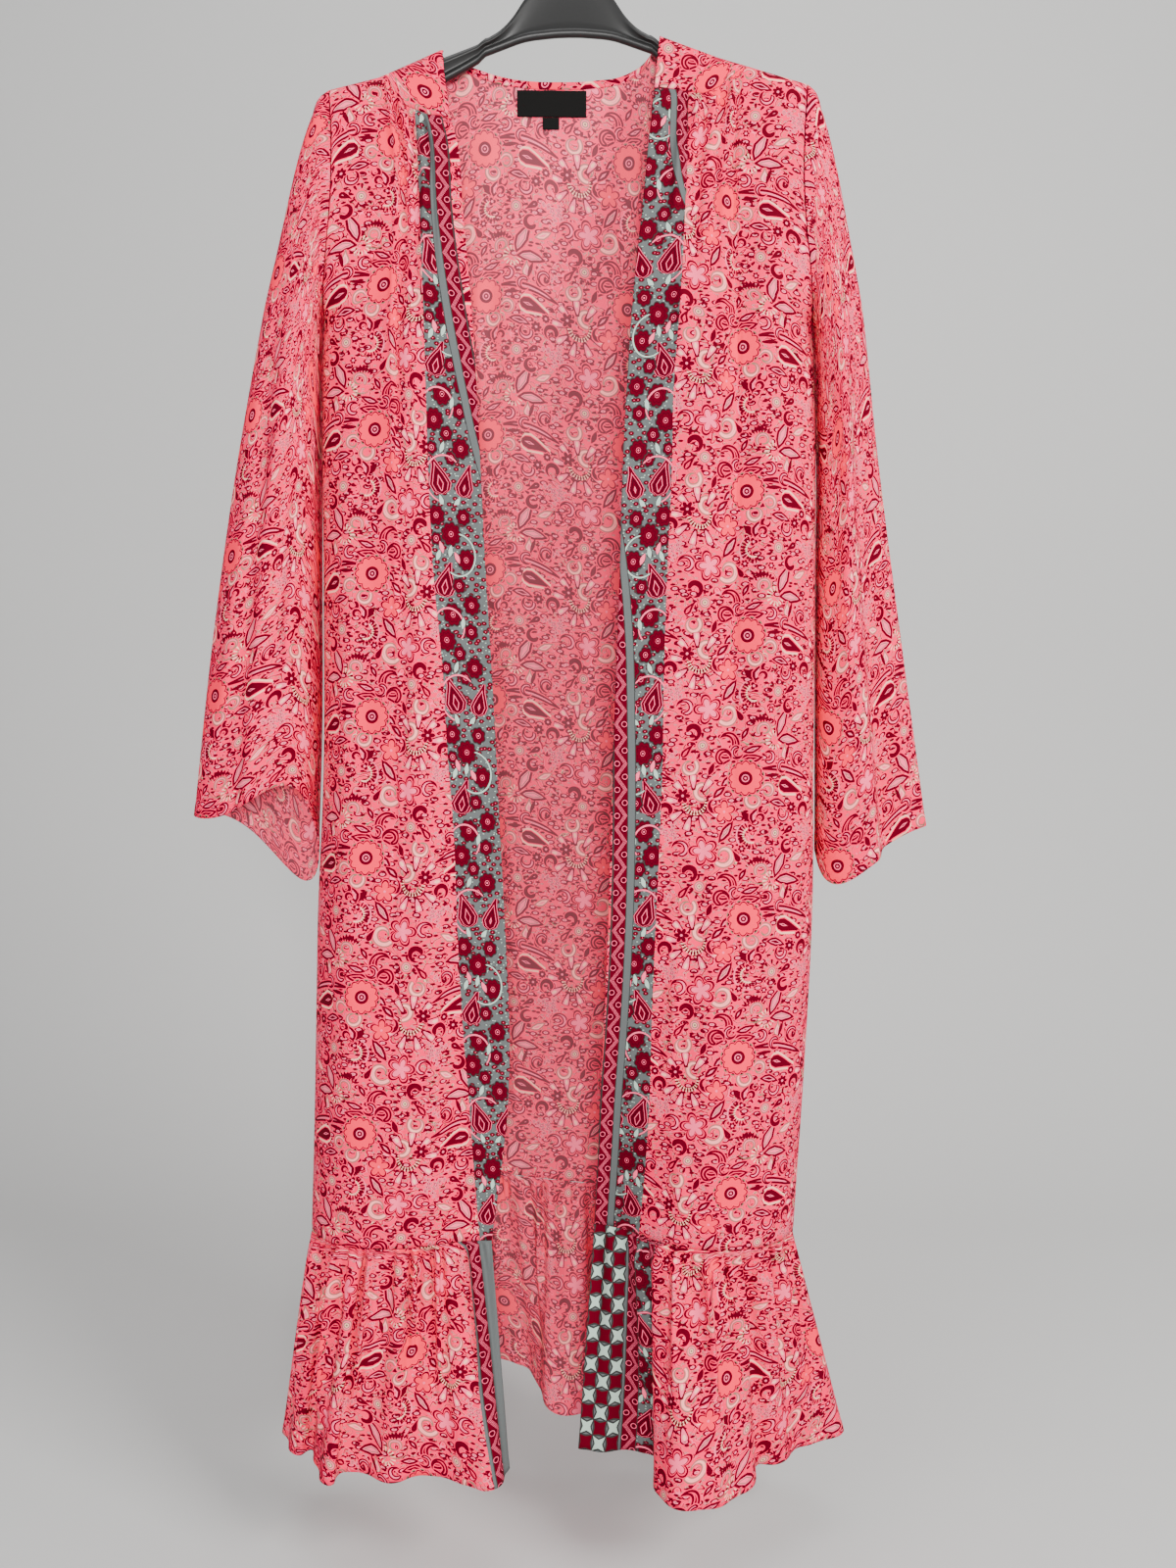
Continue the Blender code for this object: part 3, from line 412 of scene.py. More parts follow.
def armhole_share(z):
    """1 where the side is the open armhole, 0 below it where front meets back."""
    down = np.clip((ARMHOLE_WIDEST_Z - z) / (ARMHOLE_WIDEST_Z - UNDERARM_Z), 0.0, 1.0)
    return np.sqrt(1.0 - down * down)


def fall_depth(x, z, swell):
    """Distance of the hanging cloth from the hanger's plane."""
    below = np.maximum(shoulder_z(x) - z, 0.0)
    radius = flow(CREST_RADIUS, "x", "radius", np.abs(x))
    share = np.clip(below / radius, 0.0, 1.0)
    cap = radius * np.sqrt(share * (2.0 - share))
    return cap + swell * (1.0 - np.exp(-below / SWELL_DROP))


def body_depth(x, z, inward, swell):
    """Distance of the body from the hanger's plane, rounded at the sides below the armholes."""
    opened = armhole_share(z)
    bend = np.sqrt(1.0 - (1.0 - np.minimum(inward / SIDE_ROUND, 1.0)) ** 2)
    return fall_depth(x, z, swell) * (opened + (1.0 - opened) * bend)


def fold_rise(rows, x, z):
    """Height of the long soft folds towards the viewer."""
    rise = 0.0
    for top_x, foot_x, top_z, foot_z, width, height in zip(*(rows[name] for name in rows)):
        down = (z - top_z) / (foot_z - top_z)
        middle = top_x + (foot_x - top_x) * down
        fade = smooth(0.0, 0.25, down) * (1.0 - smooth(0.8, 1.1, down))
        rise = rise + height * fade * np.exp(-(((x - middle) / width) ** 2))
    return rise


def crease_rise(rows, x, z, strength=1.0):
    """Height of soft uneven ridges and troughs that wander a little along their lines."""
    rise = 0.0
    for start_x, start_z, end_x, end_z, width, height in zip(*(rows[name] for name in rows)):
        dx = end_x - start_x
        dz = end_z - start_z
        length = math.hypot(dx, dz)
        along_line = ((x - start_x) * dx + (z - start_z) * dz) / length**2
        off_line = ((x - start_x) * dz - (z - start_z) * dx) / length
        off_line = off_line + 0.45 * width * np.sin(6.0 * along_line + 90.0 * start_x)
        uneven = 0.85 + 0.35 * np.sin(8.0 * along_line + 70.0 * end_x)
        fade = smooth(-0.05, 0.20, along_line) * (1.0 - smooth(0.70, 1.10, along_line))
        spread = width * (0.75 + 0.50 * np.clip(along_line, 0.0, 1.0))
        rise = rise + strength * height * uneven * fade * np.exp(-((off_line / spread) ** 2))
    return rise


def slack(x, z, seed):
    """Slow uneven waves of cloth that hangs freely."""
    return (
        0.00060 * np.sin(x / 0.0125 + 2.2 * z + seed) * np.sin(z / 0.17 + 1.7 * seed)
        + 0.00040 * np.sin(x / 0.0081 - 3.1 * z + 2.3 * seed) * np.sin(z / 0.10 + seed)
        + 0.00035 * np.sin(x / 0.0240 + z / 0.060 + 4.1 * seed)
    )


def gather_rise(share, below_seam):
    """Small gathers that fan out below a yoke's seam, with finer ones between them."""
    low, high = GATHER_SHARES
    place = np.clip((share - low) / (high - low), 0.0, 1.0)
    ends = smooth(0.0, 0.12, place) * (1.0 - smooth(0.88, 1.0, place))
    start = smooth(0.0, 0.012, below_seam)
    fade = np.exp(-np.maximum(below_seam - 0.012, 0.0) / GATHER_FADE)
    wide = GATHER_RISE * start * fade * np.sin(2.0 * math.pi * GATHER_COUNT * place)
    uneven = place + 0.012 * np.sin(17.0 * place)
    fine_start = smooth(0.0, 0.004, below_seam)
    fine_fade = np.exp(-below_seam / (FINE_GATHER_FADE * (1.0 + 0.5 * np.sin(23.0 * place))))
    fine = FINE_GATHER_RISE * fine_start * fine_fade
    return ends * (wide + fine * np.sin(2.0 * math.pi * FINE_GATHER_COUNT * uneven))


def front_point(side, share, z, below_seam=None):
    """Points of a front, share 0 on the open edge and 1 at the side."""
    outer = SIGN[side] * side_x(side, z)
    edge = flow(EDGE_LINE, "z", side, z)
    x = edge + (outer - edge) * share
    inward = np.abs(outer - x)
    setback = flow(EDGE_SETBACK, "z", side, z) * (1.0 - smooth(0.0, SETBACK_REACH, np.abs(x - edge)))
    side_fade = smooth(0.0, SIDE_FADE, inward)
    depth = body_depth(x, z, inward, FRONT_SWELL) - setback + fold_rise(FOLDS[side], x, z) * side_fade
    if below_seam is not None:
        hanging = smooth(0.0, 0.06, below_seam) * side_fade * (1.0 - smooth(-1.09, -1.125, z))
        loose = crease_rise(CREASES["front_" + side], x, z, CREASE_STRENGTH) + slack(x, z, 1.3 + SIGN[side])
        depth = depth + gather_rise(share, below_seam) + loose * hanging
    return x, -depth, z


def back_point(share, z, with_creases=True):
    """Points of the back, share 0 at the wearer's right side and 1 at the left."""
    right = -side_x("right", z)
    left = side_x("left", z)
    x = right + (left - right) * share
    inward = np.maximum(np.minimum(x - right, left - x), 0.0)
    side_fade = smooth(0.0, SIDE_FADE, inward)
    depth = body_depth(x, z, inward, BACK_SWELL) - fold_rise(FOLDS["back"], x, z) * side_fade
    if with_creases:
        below = shoulder_z(x) - z
        hanging = smooth(0.02, 0.10, below) * side_fade * (1.0 - smooth(-1.07, -1.105, z))
        under_label = smooth(-0.168, -0.200, z)
        loose = crease_rise(CREASES["back"], x, z, CREASE_STRENGTH) + slack(x, z, 4.4)
        depth = depth - loose * hanging * under_label
    return x, depth, z


def yoke_drop(side, x):
    """Drop of the yoke's seam below the shoulder line."""
    return np.interp(np.abs(x), YOKE_SEAMS[side]["x"], YOKE_SEAMS[side]["drop"])


def column_tops(side, shares, seam=1.0):
    """Heights where a front's columns meet the yoke's seam or, with a seam of 0, the shoulder line."""
    z = np.full(len(shares), -0.15)
    for _ in range(SETTLING_ROUNDS):
        x = front_point(side, shares, z)[0]
        z = shoulder_z(x) - seam * yoke_drop(side, x)
    return z


def eased(count, low_end, high_end):
    """Shares from 0 to 1 that lie closer together at the ends that are asked for."""
    share = np.linspace(0.0, 1.0, count)
    if low_end:
        share = share - 0.16 * np.sin(math.pi * share) * (1.0 - share) ** 2 * 2.0
    if high_end:
        share = share + 0.16 * np.sin(math.pi * share) * share**2 * 2.0
    return np.clip(share, 0.0, 1.0)


def front_grid(side):
    """Points of one front, as columns from its open edge to its side."""
    shares = eased(96, False, True)
    rows = np.concatenate([[0.0, 0.0004, 0.001, 0.002, 0.004], np.linspace(0.007, 1.0, 190)])
    tops = column_tops(side, shares)[:, None]
    drops = (shoulder_z(front_point(side, shares, tops[:, 0])[0]) - tops[:, 0])[:, None]
    share = shares[:, None] + 0.0 * rows[None, :]
    z = tops + (SEAM_Z - tops) * rows[None, :]
    z = z - np.where(drops > 1e-4, (1.0 - rows[None, :]) * SEAM_GAP, 0.0)
    below = (tops - z) * smooth(0.004, 0.012, drops)
    x, y, z = front_point(side, share, z, below)
    y = -np.maximum(np.abs(y), SEAM_GAP)
    return np.stack([x, y, z], axis=-1)


def yoke_grid(side):
    """Points of one yoke, as columns from the neck edge out to its tip."""
    tips = np.linspace(0.0, 1.0, 400)
    tip = tips[yoke_drop(side, front_point(side, tips, column_tops(side, tips))[0]) > 0.0012][-1]
    shares = np.linspace(0.0, tip, 46)
    crest = column_tops(side, shares, 0.0)[:, None]
    height = np.maximum(crest - column_tops(side, shares)[:, None] - SEAM_GAP, 0.0006)
    down = np.linspace(0.0, 1.0, 26)[None, :] ** 2.6
    x, y, z = front_point(side, shares[:, None] + 0.0 * down, crest - height * down)
    y = -np.maximum(np.abs(y), SEAM_GAP)
    return np.stack([x, y, z], axis=-1)


def binding_height(x):
    inside = np.minimum(x - NECK_ENDS[0], NECK_ENDS[1] - x)
    return 0.0015 + (BINDING_HEIGHT - 0.0015) * smooth(0.0, BINDING_TAPER, inside)


def neck_z(x):
    return flow(NECK_LINE, "x", "z", x)


def back_top(x):
    """Top of the back: its shoulder line, or the neck's edge under the binding."""
    inside = np.minimum(x - NECK_ENDS[0], NECK_ENDS[1] - x)
    gap = BINDING_GAP * (1.0 - smooth(0.0, 0.010, inside))
    return np.where(inside > 0.0, neck_z(x) - binding_height(x) - gap, shoulder_z(x))


def back_foot(x):
    return flow(BACK_SEAM_LINE, "x", "z", x)


def back_grid():
    """Points of the back, as columns from the wearer's right side to the left."""
    shares = eased(150, True, True)
    rows = np.concatenate([[0.0, 0.0004, 0.001, 0.002, 0.004], np.linspace(0.008, 1.0, 150)])
    tops = np.full(len(shares), -0.15)
    feet = np.full(len(shares), -1.12)
    for _ in range(SETTLING_ROUNDS):
        tops = back_top(back_point(shares, tops, False)[0])
        feet = back_foot(back_point(shares, feet, False)[0])
    z = tops[:, None] + (feet - tops)[:, None] * rows[None, :]
    x, y, z = back_point(shares[:, None] + 0.0 * rows[None, :], z)
    y = np.maximum(y, SEAM_GAP)
    return np.stack([x, y, z], axis=-1)


def binding_grid():
    """Points of the narrow band along the back neck."""
    x_line = np.linspace(NECK_ENDS[0] + 0.004, NECK_ENDS[1] - 0.004, 90)
    down = np.linspace(0.0, 1.0, 6)[None, :]
    x = x_line[:, None] + 0.0 * down
    z = neck_z(x_line)[:, None] - binding_height(x_line)[:, None] * down
    y = fall_depth(x, z, BACK_SWELL)
    return np.stack([x, y, z], axis=-1)


def patch_grid(x_range, z_range, lift, across, down):
    """Points of a small flat piece that lies on the inside of the back."""
    x_line = np.linspace(x_range[0], x_range[1], across)
    z_line = np.linspace(z_range[1], z_range[0], down)
    x, z = np.meshgrid(x_line, z_line, indexing="ij")
    y = fall_depth(x, z, BACK_SWELL) - fold_rise(FOLDS["back"], x, z) - lift
    return np.stack([x, y, z], axis=-1)


def along(points, share):
    """Points at shares of the length of a line, smooth through its points."""
    points = np.array(points, float)
    lengths = np.concatenate([[0.0], np.cumsum(np.linalg.norm(np.diff(points, axis=0), axis=1))])
    rows = {"s": lengths / lengths[-1], "x": points[:, 0], "y": points[:, 1]}
    return flow(rows, "s", "x", share), flow(rows, "s", "y", share)


def ruffle_wave(share, down, gathers, seam_length, pleats):
    """Gathers of the ruffle: small and fine at its seam, soft lower down, none at its ends.

    A pleat is a narrow trough that falls from the seam, with a softer ridge beside it.
    """
    ends = smooth(0.0, 0.03, share) * (1.0 - smooth(0.95, 1.0, share))
    size = 0.25 + 0.75 * smooth(0.0, 0.12, down) - 0.55 * smooth(0.3, 1.0, down)
    soft = RUFFLE_GATHER_RISE * size * np.sin(2.0 * math.pi * gathers * share)
    fine_count = round(seam_length / FINE_RUFFLE_PITCH)
    uneven = share + 0.010 * np.sin(31.0 * share) + 0.004 * np.sin(83.0 * share)
    reach = 0.16 + 0.10 * np.sin(57.0 * share)
    fine_size = smooth(0.0, 0.02, down) * np.exp(-((down / reach) ** 1.5))
    fine = FINE_RUFFLE_RISE * fine_size * np.sin(2.0 * math.pi * fine_count * uneven)
    hanging = smooth(0.0, 0.05, down)
    for place, width, depth, reach in pleats:
        off = (share - place) / width
        shape = 0.6 * np.exp(-(((off - 1.7) / 1.5) ** 2)) - np.exp(-(off**2))
        fine = fine + depth * shape * hanging * (1.0 - smooth(0.5 * reach, reach, down))
    return ends * (soft + fine)


def ruffle_grid(seam_line, hem_line, gathers, outward, seam_z, hem_z, columns, end_columns, pleats):
    """Points of a ruffle, as columns between its gathered seam and its hem."""
    shares = np.linspace(0.0, 1.0, columns)
    down = np.concatenate([[0.0, 0.004, 0.010, 0.018], np.linspace(0.028, 1.0, 40)])[None, :]
    opened = np.maximum(down - 0.02, 0.0) / 0.98
    ahead = np.minimum(shares + 0.004, 1.0)
    behind = np.maximum(shares - 0.004, 0.0)
    seam_x, seam_y = (value[:, None] for value in along(seam_line, shares))
    hem_x, hem_y = (value[:, None] for value in along(hem_line, shares))
    x = seam_x + (hem_x - seam_x) * opened
    y = seam_y + (hem_y - seam_y) * opened
    dx = 0.0
    dy = 0.0
    for line, weight in ((seam_line, 1.0 - opened), (hem_line, opened)):
        forward_x, forward_y = along(line, ahead)
        behind_x, behind_y = along(line, behind)
        dx = dx + weight * (forward_x - behind_x)[:, None]
        dy = dy + weight * (forward_y - behind_y)[:, None]
    length = np.hypot(dx, dy)
    seam_length = float(np.abs(seam_x[-1, 0] - seam_x[0, 0]))
    wave = outward * ruffle_wave(shares[:, None], down, gathers, seam_length, pleats)
    top = seam_z(seam_x) - RUFFLE_GAP
    z = top + (hem_z(hem_x) - top) * down
    x = x + wave * dy / length
    y = y - wave * dx / length
    grid = np.stack([x, y, z], axis=-1)
    for end in end_columns:
        closing = grid[end].copy()
        closing[:, 1] = np.copysign(SEAM_GAP, closing[:, 1])
        grid = np.insert(grid, 0 if end == 0 else len(grid), closing, axis=0)
    return grid


def front_ruffle_grid(side):
    shares = np.linspace(0.0, 0.985, 60)
    x, y, _ = front_point(side, shares, np.full(60, SEAM_Z))
    hem = HEM_RIGHT if side == "right" else HEM_LEFT
    return ruffle_grid(
        np.stack([x, y], axis=-1), list(zip(hem["x"], hem["y"])), RUFFLE_GATHERS_FRONT, -SIGN[side],
        lambda x: SEAM_Z + 0.0 * x, lambda x: HEM_Z + 0.0 * x, 230, (-1,), PLEATS[side],
    )


def back_ruffle_grid():
    shares = np.linspace(0.015, 0.985, 90)
    x, y, _ = back_point(shares, np.full(90, float(back_foot(0.0))))
    return ruffle_grid(
        np.stack([x, y], axis=-1), list(zip(HEM_BACK["x"], HEM_BACK["y"])), RUFFLE_GATHERS_BACK, -1.0,
        back_foot, lambda x: HEM_Z - flow(BACK_HEM_DROP, "x", "drop", x), 430, (0, -1), PLEATS["back"],
    )


def sleeve_point(side, share, turn):
    """Points of a sleeve; turn 0 is its outer fold, a quarter its front, a half its inner fold."""
    rows = SLEEVES[side]
    sign = SIGN[side]
    angle = 2.0 * math.pi * turn
    across = (1.0 - np.cos(angle)) / 2.0
    front = np.sin(angle) > 0.0
    column = {name: flow(rows, "share", name, share) for name in rows}
    x = column["outer_x"] + (column["inner_x"] - column["outer_x"]) * across
    z = column["outer_z"] + (column["inner_z"] - column["outer_z"]) * across
    lens = np.abs(np.sin(angle)) ** 0.75
    step = smooth(SLEEVE_PLEAT_AT - 0.06, SLEEVE_PLEAT_AT + 0.06, across)
    inner_share = across * across * np.abs(np.sin(angle))
    y_front = -column["front_depth"] * lens - column["pleat"] * step * lens
    y = np.where(front, y_front, column["back_depth"] * lens)
    z = z + np.where(front, column["front_lift"], -column["back_drop"]) * inner_share * 1.3
    creases = crease_rise(CREASES["sleeve_" + side], sign * x, z, SLEEVE_CREASE_STRENGTH)
    loose = (creases + slack(x, z, 2.6 + sign)) * lens * smooth(0.06, 0.30, share)
    y = y + np.where(front, -loose, 0.8 * loose)
    arm_top = float(shoulder_z(sign * side_x(side, -0.15)))
    arm_z = arm_top + (UNDERARM_Z - arm_top) * across
    arm_x = side_x(side, arm_z) + CAD_WALL / 2 + SEAM_GAP * (2.5 - 1.5 * armhole_share(arm_z))
    arm_depth = np.where(front, FRONT_SWELL, BACK_SWELL)
    arm_y = fall_depth(sign * arm_x, arm_z, arm_depth) * armhole_share(arm_z)
    arm_y = np.where(front, -arm_y, arm_y)
    blend = smooth(0.0, 0.30, share)
    start = np.maximum(blend, 0.35 * smooth(0.0, 0.05, share))
    x = arm_x + (x - arm_x) * start
    y = arm_y + (y - arm_y) * blend
    z = arm_z + (z - arm_z) * start
    return sign * x, y, z


def sleeve_grid(side):
    """Points of one sleeve, as columns round it from its inner fold, each down to the cuff."""
    turns = np.linspace(-0.5, 0.5, 133)[:, None]
    shares = np.concatenate([[0.0, 0.004, 0.010, 0.018], np.linspace(0.028, 1.0, 96)])[None, :]
    x, y, z = sleeve_point(side, shares + 0.0 * turns, turns + 0.0 * shares)
    return np.stack([x, y, z], axis=-1)


def lengths_across(grid):
    """Length of cloth from the first column to each point, along its row."""
    steps = np.linalg.norm(np.diff(grid, axis=0), axis=2)
    return np.concatenate([np.zeros((1, grid.shape[1])), np.cumsum(steps, axis=0)])


def lengths_up(grid):
    """Length of cloth from the last row up to each point, along its column."""
    steps = np.linalg.norm(np.diff(grid, axis=1), axis=2)
    down = np.concatenate([np.zeros((grid.shape[0], 1)), np.cumsum(steps, axis=1)], axis=1)
    return down[:, -1:] - down


def print_map(name, grid, across, up):
    """Place on the flat print of each point, with a ring flower at the piece's own place."""
    place_x, place_z = PRINT_PLACES[name]
    misses = np.hypot(grid[:, :, 0] - place_x, grid[:, :, 2] - place_z)
    i, j = np.unravel_index(np.argmin(misses), misses.shape)
    return np.stack([across - across[i, j], up - up[i, j]], axis=-1)


def add_shell(name, grid, maps, wall, materials, hem=None, flip=False):
    """Thin closed shell on a grid of points, with its flat places kept as named UV maps."""
    columns, rows = grid.shape[:2]
    index = np.arange(columns * rows).reshape(columns, rows)
    faces = np.stack(
        [index[:-1, :-1], index[:-1, 1:], index[1:, 1:], index[1:, :-1]], axis=-1,
    ).reshape(-1, 4)
    if flip:
        faces = faces[:, ::-1]
    mesh = bpy.data.meshes.new(name)
    mesh.from_pydata(grid.reshape(-1, 3).tolist(), [], faces.tolist())
    for map_name, places in maps.items():
        layer = mesh.uv_layers.new(name=map_name)
        layer.data.foreach_set("uv", places.reshape(-1, 2)[faces.reshape(-1)].reshape(-1))
    mesh.polygons.foreach_set("use_smooth", [True] * len(mesh.polygons))
    mesh.update()
    piece = bpy.data.objects.new(name, mesh)
    bpy.context.scene.collection.objects.link(piece)
    for material in materials:
        mesh.materials.append(material)
    solidify = piece.modifiers.new("wall", "SOLIDIFY")
    solidify.thickness = wall
    solidify.offset = 0.0
    if len(materials) > 1:
        solidify.material_offset = 1
    if hem is not None:
        group = piece.vertex_groups.new(name="hem")
        weights = hem.reshape(-1)
        for i in np.nonzero(weights > 0.01)[0]:
            group.add([int(i)], float(weights[i]), "REPLACE")
        solidify.thickness = HEM_SHELL
        solidify.vertex_group = "hem"
        solidify.thickness_vertex_group = SHELL / HEM_SHELL
    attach(piece, "root")
    return piece


def band(distance, width):
    """1 within a width of an edge, easing to 0 just past it."""
    return 1.0 - smooth(width, width + 0.002, distance)


# Colours of the cloth, linear
GROUND = (0.960, 0.005, 0.082)
CORAL = (0.970, 0.012, 0.060)
CRIMSON = (0.095, 0.0002, 0.007)
WINE = (0.045, 0.0002, 0.005)
CREAM = (0.960, 0.420, 0.300)
BLUSH = (0.980, 0.105, 0.210)
SAGE = (0.190, 0.140, 0.090)
SLATE = (0.100, 0.110, 0.110)
AQUA = (0.360, 0.470, 0.400)
GRAPHITE = (0.030, 0.030, 0.030)
FADED = (0.980, 0.450, 0.530)
CLEAR = None

# Repeats of the print and of the border's flowers in millimetres. The flowers don't repeat across
REPEAT = (126.0, 118.0)
BORDER_REPEAT = (4000.0, 180.0)

# Width of the clear ground round a motif, in millimetres
HALO = 0.9

# Ends of the borders of the fronts and ruffles, and where the left ruffle's flowers are charted
FRONT_BORDER_END = 19.6
RUFFLE_BORDER_ENDS = {"right": 30.0, "left": 76.2}
LEFT_RUFFLE_FLOWERS_AT = 48.0

# Motifs worked out in one round. The next round waits for their colour, because a shader that
# works out all of them at once is too large for the renderer
LAYS_IN_A_ROUND = 10

# Half widths along a motif's length. A value of 0.3 is its edge and 0 is outside it
LEAF = ((0.0, 0.0), (0.02, 0.34), (0.25, 0.66), (0.50, 0.79), (0.78, 0.60), (0.97, 0.34), (1.0, 0.0))
DROP = (
    (0.0, 0.0), (0.015, 0.42), (0.10, 0.68), (0.28, 0.80), (0.50, 0.66), (0.75, 0.46), (0.98, 0.34),
    (1.0, 0.0),
)
STEM = ((0.0, 0.0), (0.02, 0.46), (0.20, 0.62), (0.50, 0.74), (0.80, 0.70), (0.98, 0.42), (1.0, 0.0))
HOOK = (
    (0.0, 0.0), (0.10, 0.0), (0.12, 0.52), (0.22, 0.74), (0.50, 0.80), (0.80, 0.52), (0.90, 0.32),
    (0.92, 0.0), (1.0, 0.0),
)
BROW = ((0.0, 0.0), (0.34, 0.0), (0.36, 0.36), (0.50, 0.80), (0.64, 0.36), (0.66, 0.0), (1.0, 0.0))
CRESCENT = ((0.0, 0.0), (0.19, 0.0), (0.21, 0.34), (0.50, 0.80), (0.79, 0.34), (0.81, 0.0), (1.0, 0.0))
ARC = ((0.0, 0.0), (0.20, 0.0), (0.22, 0.70), (0.50, 0.80), (0.78, 0.70), (0.80, 0.0), (1.0, 0.0))
CURL = ((0.0, 0.0), (0.02, 0.40), (0.30, 0.66), (0.60, 0.80), (0.94, 0.74), (0.97, 0.0), (1.0, 0.0))
RAY = ((0.0, 0.0), (0.56, 0.0), (0.60, 0.55), (0.80, 1.0), (0.96, 0.80), (1.0, 0.0))
FAN = ((0.0, 0.0), (0.44, 0.0), (0.48, 0.36), (0.64, 0.62), (0.84, 1.0), (0.97, 0.80), (1.0, 0.0))


class Chart:
    """Shader nodes of one chart, laid over each other motif by motif. Lengths are millimetres.

    A chart covers one window of its repeat and leaves out the motifs that don't reach into it.
    """

    def __init__(self, tree, flat=None, colour=None, repeat=(0.0, 0.0), middle=(0.0, 0.0), window=None):
        self.tree = tree
        self.flat = flat
        self.colour = colour
        self.repeat = repeat
        self.middle = middle
        self.window = window or repeat
        self.laid = 0
        if flat is not None and repeat[0] > 0.0:
            half = (repeat[0] / 2.0, repeat[1] / 2.0, 0.0)
            moved = self.vector("SUBTRACT", flat, (middle[0], middle[1], 0.0))
            self.near = self.vector("WRAP", moved, half, (-half[0], -half[1], 0.0))

    def fill(self, slots):
        """Give each slot its value, as a link or as a constant."""
        for slot, value in slots:
            if isinstance(value, bpy.types.NodeSocket):
                self.tree.links.new(value, slot)
            else:
                slot.default_value = value

    def node(self, kind, *values, given=None, **settings):
        """New node with its settings, values for its first inputs and given ones by name."""
        node = self.tree.nodes.new("ShaderNode" + kind)
        for name, value in settings.items():
            setattr(node, name, value)
        self.fill(zip(node.inputs, values))
        self.fill((node.inputs[name], value) for name, value in (given or {}).items())
        return node

    def math(self, operation, *values):
        return self.node("Math", *values, operation=operation).outputs[0]

    def vector(self, operation, *values):
        node = self.node("VectorMath", *values, operation=operation)
        return node.outputs["Value" if operation in ("LENGTH", "DISTANCE", "DOT_PRODUCT") else "Vector"]

    def parts(self, vector):
        node = self.node("SeparateXYZ", vector)
        return node.outputs["X"], node.outputs["Y"]

    def curve(self, points, value):
        node = self.node("FloatCurve", given={"Value": value})
        node.mapping.extend = "HORIZONTAL"
        line = node.mapping.curves[0]
        line.points[0].location = points[0]
        line.points[1].location = points[-1]
        for point in points[1:-1]:
            line.points.new(*point)
        for point in line.points:
            point.handle_type = "VECTOR"
        node.mapping.update()
        return node.outputs["Value"]

    def ramp(self, value, stops):
        """Colour and cover of a value, from (place, colour) stops without blending."""
        node = self.node("ValToRGB", value)
        ramp = node.color_ramp
        ramp.interpolation = "CONSTANT"
        while len(ramp.elements) < len(stops):
            ramp.elements.new(1.0)
        for i, (place, colour) in enumerate(stops):
            ramp.elements[i].position = min(max(place, 0.0), 1.0)
            ramp.elements[i].color = (0.5, 0.1, 0.1, 0.0) if colour is None else (*colour, 1.0)
        return node.outputs["Color"], node.outputs["Alpha"]

    def mixed(self, share, under, over):
        """Colour between two others, each a socket or three numbers."""
        node = self.node("Mix", share, data_type="RGBA")
        for slot, colour in ((node.inputs[6], under), (node.inputs[7], over)):
            self.fill([(slot, colour if isinstance(colour, bpy.types.NodeSocket) else (*colour, 1.0))])
        return node.outputs[2]

    def lay(self, depth, bands):
        """Lay bands of colour over what is there already, by a depth in millimetres."""
        node = self.node("Group", node_tree=banded(bands))
        self.tree.links.new(depth, node.inputs["Depth"])
        self.colour = self.mixed(node.outputs["Cover"], self.colour, node.outputs["Color"])
        self.laid += 1
        if self.laid % LAYS_IN_A_ROUND == 0:
            self.near = self.vector("MULTIPLY_ADD", self.colour, (1.0e-7, 1.0e-7, 0.0), self.near)

    def turned(self, vector, degrees, width=1.0, height=1.0):
        """Two coordinates of a vector along and across a turned axis, in units of a width and height."""
        cosine = math.cos(math.radians(degrees))
        sine = math.sin(math.radians(degrees))
        along_it = self.vector("DOT_PRODUCT", vector, (cosine / width, sine / width, 0.0))
        across = self.vector("DOT_PRODUCT", vector, (-sine / height, cosine / height, 0.0))
        return along_it, across

    def place(self, x, y, reach):
        """Vector from a motif's own middle, or None where it doesn't reach into the window."""
        away = []
        for value, middle, size, window in zip((x, y), self.middle, self.repeat, self.window):
            shift = (value - middle + size / 2.0) % size - size / 2.0
            if abs(shift) > window / 2.0 + reach:
                return None
            away.append(shift)
        return self.vector("SUBTRACT", self.near, (away[0], away[1], 0.0))

    def half_width(self, shape, share, width):
        """Half width of a motif in millimetres where its shape has run a share of its length."""
        return self.math("MULTIPLY_ADD", self.curve(shape, share), width, -0.3 * width)

    def leaf(self, x, y, length, width, turn, bend, shape, bands):
        """Leaf, drop or stem from its foot along its turn, bent sideways by its bend."""
        middle_x = x + length / 2.0 * math.cos(math.radians(turn))
        middle_y = y + length / 2.0 * math.sin(math.radians(turn))
        local = self.place(middle_x, middle_y, length / 2.0 + abs(bend) * width)
        if local is None:
            return
        along_it, across = self.turned(local, turn, length)
        along_it = self.math("ADD", along_it, 0.5)
        if bend != 0.0:
            square = self.math("MULTIPLY", along_it, along_it)
            across = self.math("MULTIPLY_ADD", square, -bend * width, across)
        half = self.half_width(shape, along_it, width)
        self.lay(self.math("SUBTRACT", half, self.math("ABSOLUTE", across)), bands)

